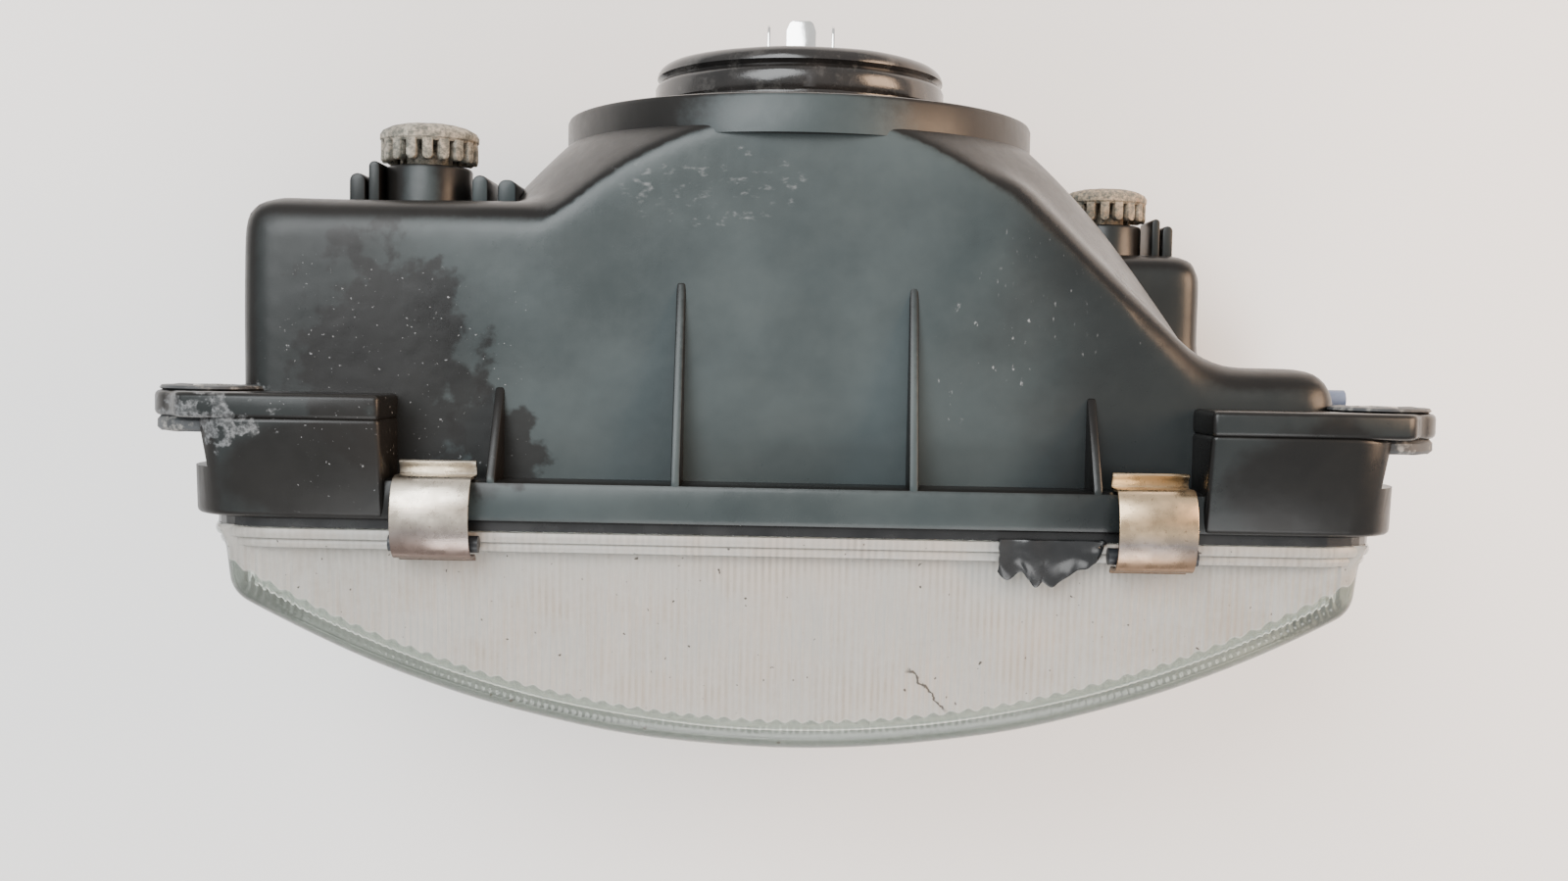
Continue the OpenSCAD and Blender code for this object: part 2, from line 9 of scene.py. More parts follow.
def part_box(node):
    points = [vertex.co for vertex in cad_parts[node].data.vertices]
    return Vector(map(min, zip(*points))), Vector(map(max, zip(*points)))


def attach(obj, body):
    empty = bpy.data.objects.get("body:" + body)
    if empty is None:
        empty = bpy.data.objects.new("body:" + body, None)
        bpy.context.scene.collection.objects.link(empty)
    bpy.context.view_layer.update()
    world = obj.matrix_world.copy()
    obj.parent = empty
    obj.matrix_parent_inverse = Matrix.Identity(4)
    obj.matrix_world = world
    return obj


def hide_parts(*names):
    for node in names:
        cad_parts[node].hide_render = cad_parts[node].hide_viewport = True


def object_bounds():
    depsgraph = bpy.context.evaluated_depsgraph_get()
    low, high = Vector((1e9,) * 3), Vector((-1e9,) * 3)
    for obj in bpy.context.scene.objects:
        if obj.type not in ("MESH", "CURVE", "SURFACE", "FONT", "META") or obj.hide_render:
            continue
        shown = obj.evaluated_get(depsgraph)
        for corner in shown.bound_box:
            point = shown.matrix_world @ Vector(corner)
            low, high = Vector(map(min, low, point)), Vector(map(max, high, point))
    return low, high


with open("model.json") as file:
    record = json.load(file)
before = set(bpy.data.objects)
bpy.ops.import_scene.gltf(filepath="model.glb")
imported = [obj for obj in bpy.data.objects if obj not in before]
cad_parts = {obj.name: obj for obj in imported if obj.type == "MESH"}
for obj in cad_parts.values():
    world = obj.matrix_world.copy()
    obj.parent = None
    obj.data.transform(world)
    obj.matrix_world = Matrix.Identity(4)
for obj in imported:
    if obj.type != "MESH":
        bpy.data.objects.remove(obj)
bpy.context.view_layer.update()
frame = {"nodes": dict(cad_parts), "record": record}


# ---- Sizes, in millimetres until a piece is finished -------------------------

MM = 0.001

# Faces that meet at less than this many degrees are shaded as one
smooth_below = 35.0


def extent(node):
    """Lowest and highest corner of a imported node, in millimetres."""
    low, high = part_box(node)
    return low / MM, high / MM


housing_low, housing_high = extent("housing")
lens_low, lens_high = extent("lens")
boot_high = extent("dust_boot")[1]
ear_bolts = next(m for m in frame["record"]["mounts"] if m["name"] == "ear_bolts")
ear_x = ear_bolts["dims"]["spacing_x_mm"] / 2
ear_z = ear_bolts["dims"]["spacing_y_mm"] / 2

# Housing. The dome's radius is the square root of dome_growth * (dome_apex - y). What stands on the
# body's top starts at root_z, inside its wall.
body_half_h = 60.0
root_z = body_half_h - 1.5
wing_left = -135.4
wing_right = 132.0
wing_rear = 46.0
shoulder_rear = 8.5
wall = 2.5
edge_round = 8.0
dome_growth = 138.0
dome_apex = 93.8
collar_r = 63.3
collar_front = 63.5
collar_rear = housing_high.y
rear_wall_front = 67.0
rear_wall_rear = 69.5
service_hole_r = 44.0
flange_front = housing_low.y
flange_rear = flange_front + 9.8
flange_half_w = 144.0
flange_half_h = 72.0
flange_corner_r = 20.0
flange_band = flange_half_w - wing_right + wall + 1
box_inner_x = 96.0
box_corner_r = 14.0
box_low_z = 46.0
ear_front = -7.4
ear_rear = -1.4
ear_eye_r = 13.0
ear_hole_r = 9.1
recess_r = 12.7
recess_floor = -19.0
side_box_rear = 41.0
side_box = ((70.0, -10.0, -60.0), (117.5, side_box_rear, -14.0))

# Gussets: distance of each from the middle, and its rear end
gussets = ((71.3, 0.7), (28.0, 26.6))
gusset_half = 1.1

# Aiming gear. Each packed hub reaches hub_reach into the counterbore of its boss.
wheel_spots = {name: extent(name + "_wheel") for name in ("vertical", "horizontal")}
wheel_middle = {name: (low + high) / 2 for name, (low, high) in wheel_spots.items()}
hub_front = {name: low.y for name, (low, high) in wheel_spots.items()}
hub_reach = 1.4
boss_rear = {name: front + hub_reach for name, front in hub_front.items()}
boss_front = {"vertical": wing_rear - 4.5, "horizontal": side_box_rear - 2.5}
boss_r = 11.0
screw_bore_r = 3.5
screw_bore_front = 30
seal_bore_r = 7.65
seal_bore_depth = 3
tooth_count = 18
tooth_half = 1.3

# Guides beside the hand wheels: left side, right side and rear end of each, then their heights
left_fingers = ((-113.4, -109.4, 53.5), (-108.6, -105.8, 56.6), (-82.5, -78.5, 53.5), (-76, -71.4, 52.5))
left_finger_z = (22, 40)
right_fingers = ((104.8, 107.2, 52), (108, 111, 50))
right_finger_z = (-43, -27)

# Lens. Its plan outline is a wide arc, a tight corner at each end and a short side up to the rim, with
# their shares of each half. The arc ends facing front_turn away from the front, the corner corner_turn.
lens_rim_rear = lens_high.y
lens_rim_front = lens_rim_rear - 5.3
rim_edge_y = lens_rim_rear + 0.4
lens_front = lens_low.y
lens_curve_r = 270.0
lens_half_w = 137.0
lens_half_h = 66.0
lens_taper = 4.0
glass = 4.5
glass_columns = 600
flute_pitch = 1.67
flute_depth = 0.28
prism_pitch = 4.2
prism_depth = 0.6
front_centre_y = lens_front + lens_curve_r
corner_r = 8.0
corner_x = 127.8
corner_y = -45.2
corner_turn = math.pi / 2 - 0.1
front_turn = math.atan2(corner_x, front_centre_y - corner_y)
front_share = 0.90
corner_share = 0.06
side_share = 0.04
edge_bend_r = 4.5

# Clips and torn seal
clip_thickness = 0.8
arch_y = -29.85
arch_z = 73.0
arch_half = 8.95
arch_rise = 4.4
tear_left = 48.5
tear_width = 24.5
tear_reach = 10.5
tear_longest = 12.5
tear_z = 70.75


# ---- Mesh work ---------------------------------------------------------------


def prism(points, axis, low, high):
    """Closed block with the given outline, run from low to high along an axis.

    The outline holds the other two coordinates, in X, Y, Z order."""
    bm = bmesh.new()
    places = {"X": lambda a, b: (low, a, b), "Y": lambda a, b: (a, low, b), "Z": lambda a, b: (a, b, low)}
    face = bm.faces.new([bm.verts.new(places[axis](a, b)) for a, b in points])
    grown = bmesh.ops.extrude_face_region(bm, geom=[face])["geom"]
    moved = [v for v in grown if isinstance(v, bmesh.types.BMVert)]
    bmesh.ops.translate(bm, verts=moved, vec=Vector([high - low if axis == a else 0 for a in "XYZ"]))
    bmesh.ops.recalc_face_normals(bm, faces=bm.faces)
    return bm


def lathe(profile, steps=96, closed=True, centre=(0.0, 0.0)):
    """Turns a profile of (radius, y) about a line along Y."""
    bm = bmesh.new()
    verts = [bm.verts.new((r, y, 0)) for r, y in profile]
    runs = list(zip(verts, verts[1:])) + ([(verts[-1], verts[0])] if closed else [])
    for first, second in runs:
        if first.co.x > 0 or second.co.x > 0:
            bm.edges.new((first, second))
    bmesh.ops.spin(bm, geom=bm.verts[:] + bm.edges[:], cent=(0, 0, 0), axis=(0, 1, 0),
                   angle=math.tau, steps=steps, use_merge=True)
    bmesh.ops.remove_doubles(bm, verts=bm.verts, dist=1e-4)
    bmesh.ops.translate(bm, verts=bm.verts, vec=(centre[0], 0, centre[1]))
    bmesh.ops.recalc_face_normals(bm, faces=bm.faces)
    return bm


def plug(radius, front, rear, centre, steps=48):
    """Solid round bar along Y, for boring a hole."""
    bar = [(0, front), (radius, front), (radius, rear), (0, rear)]
    return lathe(bar, steps, closed=False, centre=centre)


def arc(centre, radius, start, end, steps, flat=1.0):
    """Points on an arc between two angles in degrees; flat scales its second coordinate."""
    turns = [math.radians(start + (end - start) * i / steps) for i in range(steps + 1)]
    return [(centre[0] + radius * math.cos(t), centre[1] + radius * flat * math.sin(t)) for t in turns]


def sharp_edges(bm, least=30.0):
    """Edges whose two faces meet at more than the least angle, in degrees."""
    least = math.radians(least)
    return [e for e in bm.edges if e.is_manifold and e.calc_face_angle() > least]


def round_edges(bm, radius, segments=3, least=30.0):
    """Rounds the sharp edges of a mesh."""
    bmesh.ops.bevel(bm, geom=sharp_edges(bm, least), offset=radius, segments=segments, profile=0.5,
                    affect="EDGES", material=-1, clamp_overlap=True)
    return bm


def round_plate(half_w, half_h, radius, segments=8):
    """Flat face in the XZ plane: a rectangle with round corners."""
    bm = bmesh.new()
    bmesh.ops.create_grid(bm, x_segments=1, y_segments=1, size=1,
                          matrix=Matrix.Diagonal((half_w, half_h, 1, 1)))
    bmesh.ops.bevel(bm, geom=bm.verts[:], offset=radius, segments=segments, profile=0.5,
                    affect="VERTICES", material=-1)
    bmesh.ops.rotate(bm, verts=bm.verts, cent=(0, 0, 0), matrix=Matrix.Rotation(math.pi / 2, 3, "X"))
    return bm


def round_frame(half_w, half_h, radius, band, front, rear, edge=0.5):
    """Picture frame round the bulb axis, with round corners and softened edges."""
    bm = round_plate(half_w, half_h, radius)
    bmesh.ops.translate(bm, verts=bm.verts, vec=(0, front, 0))
    middle = bm.faces[:]
    bmesh.ops.inset_region(bm, faces=middle, thickness=band, use_boundary=True, use_even_offset=True)
    bmesh.ops.delete(bm, geom=middle, context="FACES")
    grown = bmesh.ops.extrude_face_region(bm, geom=bm.faces[:])["geom"]
    moved = [v for v in grown if isinstance(v, bmesh.types.BMVert)]
    bmesh.ops.translate(bm, verts=moved, vec=(0, rear - front, 0))
    bmesh.ops.recalc_face_normals(bm, faces=bm.faces)
    return round_edges(bm, edge, segments=2, least=60)


def add(target, *sources):
    """Puts other meshes into the target and frees them."""
    for source in sources:
        scratch = bpy.data.meshes.new("scratch")
        source.to_mesh(scratch)
        source.free()
        target.from_mesh(scratch)
        bpy.data.meshes.remove(scratch)
    return target


def mirrored(bm, axis):
    """Mirror image of a mesh along an axis, through the origin."""
    twin = bm.copy()
    scale = Vector([-1 if axis == a else 1 for a in "XYZ"])
    bmesh.ops.scale(twin, verts=twin.verts, vec=scale)
    bmesh.ops.reverse_faces(twin, faces=twin.faces)
    return twin


def at_four_corners(bm):
    """The mesh, drawn at the upper right corner, at all four corners."""
    add(bm, mirrored(bm, "X"))
    return add(bm, mirrored(bm, "Z"))


def shaped(bm, *modifiers):
    """Mesh after modifiers, each given as (kind, settings)."""
    mesh = bpy.data.meshes.new("shaping")
    bm.to_mesh(mesh)
    bm.free()
    obj = bpy.data.objects.new("shaping", mesh)
    bpy.context.scene.collection.objects.link(obj)
    for kind, settings in modifiers:
        modifier = obj.modifiers.new(kind.title(), kind)
        for key, value in settings.items():
            setattr(modifier, key, value)
    bpy.context.view_layer.update()
    done = obj.evaluated_get(bpy.context.evaluated_depsgraph_get())
    result = bmesh.new()
    result.from_mesh(done.to_mesh())
    done.to_mesh_clear()
    bpy.data.objects.remove(obj)
    bpy.data.meshes.remove(mesh)
    return result


def worn(bm, size, depth, seed=0.0):
    """Pushes each point along its normal by smooth noise, as on rough or aged surfaces."""
    bm.normal_update()
    for v in bm.verts:
        v.co += v.normal * depth * noise.noise(v.co / size + Vector((seed, seed, seed)))
    return bm


def finish_piece(bm, name, body, finish, stands_for=()):
    """Turns a mesh drawn in millimetres into a piece in metres that rides on its body."""
    bmesh.ops.scale(bm, verts=bm.verts, vec=(MM, MM, MM))
    mesh = bpy.data.meshes.new(name)
    bm.to_mesh(mesh)
    bm.free()
    mesh.shade_smooth()
    mesh.set_sharp_from_angle(angle=math.radians(smooth_below))
    mesh.materials.append(finish.material)
    piece = bpy.data.objects.new(name, mesh)
    bpy.context.scene.collection.objects.link(piece)
    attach(piece, body)
    if stands_for:
        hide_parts(*stands_for)


# ---- Finishes ----------------------------------------------------------------


class Finish:
    """A procedural material, with short ways to add the patterns that the finishes share.

    An amount or a colour may be a plain value or another node's output."""

    def __init__(self, name, **fixed):
        self.material = bpy.data.materials.new(name)
        self.material.use_nodes = True
        self.tree = self.material.node_tree
        self.shader = self.tree.nodes["Principled BSDF"]
        self.place = self.add("ShaderNodeTexCoord").outputs["Object"]
        for key, value in fixed.items():
            self.shader.inputs[key.replace("_", " ")].default_value = value

    def add(self, kind, **settings):
        """A new node with the given settings."""
        node = self.tree.nodes.new(kind)
        for key, value in settings.items():
            setattr(node, key, value)
        return node

    def feed(self, socket, value):
        """Links a node's output to the socket, or sets the socket to a plain value."""
        if isinstance(value, bpy.types.NodeSocket):
            self.tree.links.new(value, socket)
        else:
            socket.default_value = value

    def noise(self, size, detail=4.0, stretch=(1, 1, 1), roughness=0.55, shift=0.0):
        """Noise whose blotches are about size millimetres, longer along the stretched axes."""
        mapping = self.add("ShaderNodeMapping")
        self.feed(mapping.inputs["Vector"], self.place)
        mapping.inputs["Scale"].default_value = [1 / (size * MM * s) for s in stretch]
        mapping.inputs["Location"].default_value = (shift, shift, shift)
        pattern = self.add("ShaderNodeTexNoise")
        self.feed(pattern.inputs["Vector"], mapping.outputs["Vector"])
        pattern.inputs["Scale"].default_value = 1.0
        pattern.inputs["Detail"].default_value = detail
        pattern.inputs["Roughness"].default_value = roughness
        return pattern.outputs["Fac"]

    def ramp(self, value, *stops):
        """Colour ramp; each stop is (position, colour)."""
        ramp = self.add("ShaderNodeValToRGB")
        self.feed(ramp.inputs["Fac"], value)
        points = ramp.color_ramp.elements
        while len(points) < len(stops):
            points.new(0.5)
        for point, (position, colour) in zip(points, stops):
            point.position = position
            point.color = tuple(colour) + (1,)
        return ramp.outputs["Color"]

    def between(self, value, low, high, first=0.0, last=1.0):
        """Maps low..high smoothly onto first..last."""
        node = self.add("ShaderNodeMapRange", interpolation_type="SMOOTHSTEP")
        for key, given in zip(("Value", "From Min", "From Max", "To Min", "To Max"),
                              (value, low, high, first, last)):
            self.feed(node.inputs[key], given)
        return node.outputs["Result"]

    def maths(self, kind, *values):
        """Result of one maths node; the methods after this one name its kinds."""
        node = self.add("ShaderNodeMath", operation=kind)
        for socket, value in zip(node.inputs, values):
            self.feed(socket, value)
        return node.outputs[0]

    def plus(self, first, second):
        return self.maths("ADD", first, second)

    def minus(self, first, second):
        return self.maths("SUBTRACT", first, second)

    def times(self, first, second):
        return self.maths("MULTIPLY", first, second)

    def larger(self, first, second):
        return self.maths("MAXIMUM", first, second)

    def absolute(self, value):
        return self.maths("ABSOLUTE", value)

    def sine(self, value):
        return self.maths("SINE", value)

    def mix(self, amount, first, second):
        """Blends two colours. The node's inputs 6 and 7 and its output 2 are the ones for colours."""
        node = self.add("ShaderNodeMix", data_type="RGBA")
        self.feed(node.inputs["Factor"], amount)
        for socket, colour in zip(node.inputs[6:8], (first, second)):
            self.feed(socket, colour if isinstance(colour, bpy.types.NodeSocket) else tuple(colour) + (1,))
        return node.outputs[2]

    def axis(self, letter, source="Object"):
        """One coordinate in metres, or one part of the surface's direction."""
        split = self.add("ShaderNodeSeparateXYZ")
        vector = self.add("ShaderNodeNewGeometry").outputs["Normal"] if source == "Normal" else self.place
        self.feed(split.inputs[0], vector)
        return split.outputs[letter]

    def patch(self, centre, reach, ragged=0.5, size=12.0, shift=0.0):
        """1 inside a ragged spot round a centre, 0 outside; sizes in millimetres."""
        mapping = self.add("ShaderNodeMapping")
        self.feed(mapping.inputs["Vector"], self.place)
        mapping.inputs["Scale"].default_value = [1 / (r * MM) for r in reach]
        mapping.inputs["Location"].default_value = [-c / r for c, r in zip(centre, reach)]
        length = self.add("ShaderNodeVectorMath", operation="LENGTH")
        self.feed(length.inputs[0], mapping.outputs["Vector"])
        rough_edge = self.times(self.minus(self.noise(size, shift=shift), 0.5), ragged * 2)
        return self.between(self.plus(length.outputs["Value"], rough_edge), 1.15, 0.85)

    def colour(self, value):
        """Sets the finish's colour."""
        self.feed(self.shader.inputs["Base Color"], value)

    def rough(self, value):
        """Sets the finish's roughness."""
        self.feed(self.shader.inputs["Roughness"], value)

    def bump(self, height, distance, strength=1.0):
        """Fine relief; distance in millimetres. Calls add up."""
        node = self.add("ShaderNodeBump")
        self.feed(node.inputs["Height"], height)
        node.inputs["Distance"].default_value = distance * MM
        node.inputs["Strength"].default_value = strength
        before = self.shader.inputs["Normal"]
        if before.is_linked:
            self.feed(node.inputs["Normal"], before.links[0].from_socket)
        self.feed(before, node.outputs["Normal"])


def housing_plastic():
    """Black moulded plastic with a painted grey-teal sheen where it faces up, standing for a reflection of
    the room above, with dark stained patches and pale scuffs.
    """
    f = Finish("housing plastic", IOR=1.5, Specular_IOR_Level=0.28)
    broad = f.noise(60, detail=5)
    fine = f.noise(3, detail=6, roughness=0.7)
    drawn = f.noise(1.1, detail=3, stretch=(1, 14, 14))

    # The painted sheen, a grey-teal reflection painted into the colour, lies on what faces up, thins out
    # towards both ends and is mostly missing from four patches: two dark stained patches on the left wing and
    # the tops of the two upper corner blocks.
    facing_up = f.between(f.plus(f.axis("Z", "Normal"), f.times(fine, 0.08)), 0.90, 1.02)
    painted_sheen = f.times(facing_up, f.between(broad, 0.2, 0.75, 0.65, 1.0))
    across = f.plus(f.axis("X"), f.times(f.noise(40, detail=5, shift=12.0), 0.06))
    painted_sheen = f.times(painted_sheen, f.between(across, -0.085, -0.030, 0.28, 1.0))
    painted_sheen = f.times(painted_sheen, f.between(across, 0.060, 0.105, 1.0, 0.30))
    stains_and_sheen_gaps = [
        f.patch((-97, 6, 60), (19, 27, 40), ragged=1.3, size=11),
        f.patch((-72, -12, 60), (11, 11, 30), ragged=1.2, size=9, shift=3.0),
        f.patch((-104, -20, 74), (30, 14, 9), ragged=0.4, size=14),
        f.patch((125, -20, 74), (22, 20, 9), ragged=0.4, size=14),
    ]
    for dark_patch in stains_and_sheen_gaps:
        painted_sheen = f.times(painted_sheen, f.minus(1.0, f.times(dark_patch, 0.88)))
    base = f.ramp(broad, (0.3, (0.004, 0.004, 0.004)), (0.7, (0.009, 0.008, 0.007)))
    # Grey-teal colour of the painted sheen, laid over the black where its mask says
    dust_and_sheen_film = f.ramp(f.noise(25, detail=6), (0.3, (0.036, 0.049, 0.052)), (0.7, (0.056, 0.071, 0.073)))
    colour = f.mix(painted_sheen, base, dust_and_sheen_film)

    # Specks of dust and scuffs, each a pattern that shows within a patch
    dust = f.times(f.between(f.noise(0.9, detail=2, shift=5.0), 0.70, 0.76),
                   f.patch((-98, 2, 60), (30, 30, 40), ragged=0.8, shift=1.0))
    scuffs = [
        f.times(f.patch((46, 9, 60), (12, 16, 14), ragged=1.2, size=7, shift=2.0),
                f.between(f.noise(1.1, stretch=(1.5, 2.5, 1), shift=4.0), 0.66, 0.74)),
        f.times(f.patch((-22, 50, 58), (22, 10, 12), ragged=1.2, size=7, shift=7.0),
                f.between(f.noise(1.6, detail=6, stretch=(2.0, 1, 1), shift=6.0), 0.56, 0.80, 0.0, 0.6)),
        f.times(f.patch((65, 28, 58), (16, 18, 14), ragged=1.2, size=7, shift=9.0),
                f.between(f.noise(0.9, stretch=(1, 3, 1), shift=8.0), 0.66, 0.78, 0.0, 0.6)),
        f.times(f.patch((-137, -7, 66), (14, 7, 14), ragged=1.8, size=4, shift=11.0),
                f.between(f.noise(1.3, detail=6, roughness=0.7, shift=13.0), 0.40, 0.66, 0.15, 0.8)),
    ]
    marks = dust
    for scuff in scuffs:
        marks = f.larger(marks, scuff)
    f.colour(f.mix(f.times(marks, 0.55), colour, (0.34, 0.35, 0.36)))

    gloss = f.between(f.plus(broad, f.times(fine, 0.35)), 0.35, 0.9, 0.22, 0.42)
    f.rough(f.plus(gloss, f.times(marks, 0.2)))
    f.bump(drawn, 0.02, 0.5)
    f.bump(fine, 0.05, 0.45)
    f.bump(f.between(f.noise(14, detail=2), 0.3, 0.7), 0.25, 0.25)
    return f


def lens_glass():
    """Pressed glass under a layer of warm dust, painted darker towards both ends as shade, with a greenish
    band along the front edge of its top.
    """
    f = Finish("lens glass", IOR=1.5)
    dust_and_sheen_film = f.noise(16, detail=6, roughness=0.6)
    streaks = f.noise(flute_pitch, detail=3, stretch=(1, 14, 1), roughness=0.6)
    flutes = f.sine(f.times(f.axis("X"), math.tau / (flute_pitch * MM)))
    upper = f.between(f.axis("Z", "Normal"), 0.5, 0.9)

    # The band starts at a set distance from the upright line that the curved front turns about.
    flat_place = f.add("ShaderNodeMapping")
    f.feed(flat_place.inputs["Vector"], f.place)
    flat_place.inputs["Scale"].default_value = (1, 1, 0)
    flat_place.inputs["Location"].default_value = (0, -front_centre_y * MM, 0)
    reach = f.add("ShaderNodeVectorMath", operation="LENGTH")
    f.feed(reach.inputs[0], flat_place.outputs["Vector"])
    scallops = f.sine(f.times(f.axis("X"), math.tau / (prism_pitch * MM)))
    edge = f.between(f.plus(reach.outputs["Value"], f.times(scallops, 0.0004)),
                     (lens_curve_r - 8.2) * MM, (lens_curve_r - 7.0) * MM)
    edge = f.times(edge, f.between(f.axis("Z", "Normal"), 0.02, 0.20))

    # Dust lies thick on what faces up, and thin on the band and on everything else.
    dust = f.between(f.plus(dust_and_sheen_film, f.times(streaks, 0.35)), 0.40, 0.95, 0.55, 0.95)
    dust = f.times(dust, f.between(upper, 0.0, 1.0, 0.16, 1.0))
    dust = f.times(dust, f.between(edge, 0.0, 1.0, 1.0, 0.22))

    # A dark crack follows a slanted line through one place on the top wall, wandering a little.
    crack_x, crack_y, crack_lean = 0.0276, -0.0647, 0.906
    aside = f.plus(f.axis("X"), f.times(f.minus(f.axis("Y"), crack_y), crack_lean))
    aside = f.plus(f.minus(aside, crack_x), f.times(f.minus(f.noise(3.5), 0.5), 0.008))
    crack = f.times(f.between(f.absolute(aside), 0.0007, 0.0004),
                    f.patch((33, -70.6, 62), (6.2, 7.2, 9), ragged=0.2, size=3))
    specks = f.between(f.noise(1.7, detail=1, shift=3.0), 0.74, 0.78)
    dirt = f.larger(specks, crack)

    clean = f.mix(edge, (0.93, 0.96, 0.94), (0.40, 0.47, 0.41))
    faded_and_shaded = f.ramp(dust_and_sheen_film, (0.3, (0.29, 0.248, 0.205)), (0.7, (0.44, 0.388, 0.335)))
    # Painted shade: the dust colour is painted darker towards both ends of the lens.
    shade_towards_ends = f.between(f.absolute(f.axis("X")), 0.05, 0.135, 0.0, 0.55)
    faded_and_shaded = f.mix(shade_towards_ends, faded_and_shaded, (0.21, 0.185, 0.155))
    grooves = f.times(f.between(flutes, 0.8, -1.0),
                      f.between(f.noise(20, detail=4, shift=8.0), 0.3, 0.7, 0.25, 0.75))
    dusty = f.mix(grooves, faded_and_shaded, (0.20, 0.175, 0.145))
    f.colour(f.mix(f.times(dirt, 0.95), f.mix(dust, clean, dusty), (0.05, 0.04, 0.03)))
    f.rough(f.between(dust, 0.0, 1.0, 0.10, 0.50))
    solid = f.larger(f.times(dust, 0.85), dirt)
    f.feed(f.shader.inputs["Transmission Weight"], f.minus(1.0, solid))
    f.bump(streaks, 0.05, 0.4)
    f.bump(f.noise(2.5, detail=5), 0.05, 0.4)
    return f


def rubber(name, dark, light, roughness=(0.4, 0.65), dusty=0.0):
    """Cloudy black rubber; dusty is how far pale dust covers its patches."""
    f = Finish(name, IOR=1.5)
    cloud = f.noise(9, detail=5)
    fine = f.noise(0.6, detail=3)
    dust = f.times(f.between(f.noise(4, detail=6, roughness=0.7, shift=2.0), 0.5, 0.68), dusty)
    f.colour(f.mix(dust, f.ramp(cloud, (0.3, dark), (0.7, light)), (0.30, 0.29, 0.27)))
    f.rough(f.between(f.plus(cloud, dust), 0.3, 1.0, *roughness))
    f.bump(fine, 0.04, 0.5)
    f.bump(cloud, 0.2, 0.3)
    return f


def metal(name, dark, light, roughness=(0.2, 0.45), rust=0.0, lines=(1, 1, 1)):
    """Metal with cloudy tarnish; lines says how long its fine drawing lines are along X, Y and Z."""
    f = Finish(name, Metallic=1.0)
    cloud = f.noise(6, detail=6, roughness=0.6)
    brushed = f.noise(0.35, detail=2, stretch=lines)
    spots = f.times(f.between(f.noise(1.4, detail=5, shift=4.0), 0.55, 0.70), rust)
    f.colour(f.mix(spots, f.ramp(cloud, (0.3, dark), (0.7, light)), (0.16, 0.075, 0.03)))
    f.rough(f.between(f.plus(cloud, f.times(spots, 0.6)), 0.3, 1.0, *roughness))
    f.bump(brushed, 0.02, 0.5)
    f.bump(f.noise(1.5, detail=4), 0.05, 0.3)
    return f


def plastic(name, dark, light):
    """Cloudy moulded plastic with a fine grain."""
    f = Finish(name, IOR=1.48)
    cloud = f.noise(7, detail=5)
    f.colour(f.ramp(cloud, (0.3, dark), (0.7, light)))
    f.rough(f.between(cloud, 0.3, 0.7, 0.35, 0.55))
    f.bump(f.noise(0.8, detail=4), 0.04, 0.5)
    return f


def clip_steel(name, warm):
    """Spring steel strip, warm tan or grey, whose colour runs in bands across the bend: a pale painted
    highlight where it faces up, on the top of the arch and on the foot, and painted shade in grey, tan and
    brown on its slopes.
    """
    f = Finish(name, Metallic=1.0)
    # Painted highlight and shade: the colour is set by the place along the bend, pale where the strip faces
    # up and darker on its slopes.
    wander = f.plus(f.axis("Y"), f.times(f.minus(f.noise(7, detail=4), 0.5), 0.003))
    band = f.between(wander, lens_rim_front * MM - 0.001, flange_rear * MM + 0.003)
    pale = (0.62, 0.47, 0.30) if warm else (0.62, 0.56, 0.47)
    tan = (0.46, 0.33, 0.20) if warm else (0.50, 0.43, 0.35)
    brown = (0.26, 0.17, 0.11) if warm else (0.20, 0.15, 0.13)
    grey = (0.30, 0.26, 0.24)
    colour = f.ramp(band, (0.05, brown), (0.22, grey), (0.42, pale), (0.60, tan), (0.90, pale))
    spots = f.between(f.noise(0.8, detail=4, shift=3.0), 0.60, 0.72)
    f.colour(f.mix(f.times(spots, 0.5), colour, (0.14, 0.09, 0.06)))
    f.rough(f.between(f.noise(4, detail=5), 0.3, 0.7, 0.22, 0.40))
    f.bump(f.noise(0.3, detail=2, stretch=(18, 1, 1)), 0.02, 0.5)
    return f


def reflector_finish():
    """Silvery vacuum plating inside the bowl, bare grey plastic behind it."""
    f = Finish("reflector plating")
    inside = f.between(f.axis("Y", "Normal"), 0.1, -0.1)
    cloud = f.noise(16, detail=6)
    bare = f.ramp(cloud, (0.3, (0.16, 0.15, 0.14)), (0.7, (0.22, 0.21, 0.20)))
    silver = f.ramp(cloud, (0.3, (0.72, 0.72, 0.74)), (0.7, (0.86, 0.86, 0.87)))
    f.colour(f.mix(inside, bare, silver))
    f.feed(f.shader.inputs["Metallic"], inside)
    f.rough(f.plus(f.between(inside, 0.0, 1.0, 0.5, 0.14), f.times(cloud, 0.1)))
    f.bump(f.noise(1.2, detail=3), 0.03, 0.3)
    return f


def wheel_finish(name, warm):
    """Zinc casting under a pale corroded crust, greenish grey or, when warm, tan."""
    f = Finish(name, Metallic=0.25)
    crust = f.noise(1.6, detail=8, roughness=0.75)
    cloud = f.noise(5, detail=4, shift=4.0)
    grey_tones = (0.34, 0.29, 0.23), (0.42, 0.38, 0.31), (0.30, 0.32, 0.29)
    tan_tones = (0.30, 0.20, 0.12), (0.44, 0.36, 0.26), (0.33, 0.25, 0.18)
    pale = f.ramp(cloud, *zip((0.3, 0.55, 0.75), tan_tones if warm else grey_tones))
    f.colour(f.mix(f.between(crust, 0.40, 0.62), (0.13, 0.13, 0.11), pale))
    f.rough(f.between(crust, 0.3, 0.7, 0.85, 0.6))
    f.bump(crust, 0.5, 0.9)
    f.bump(f.noise(0.5, detail=4), 0.15, 0.6)
    return f


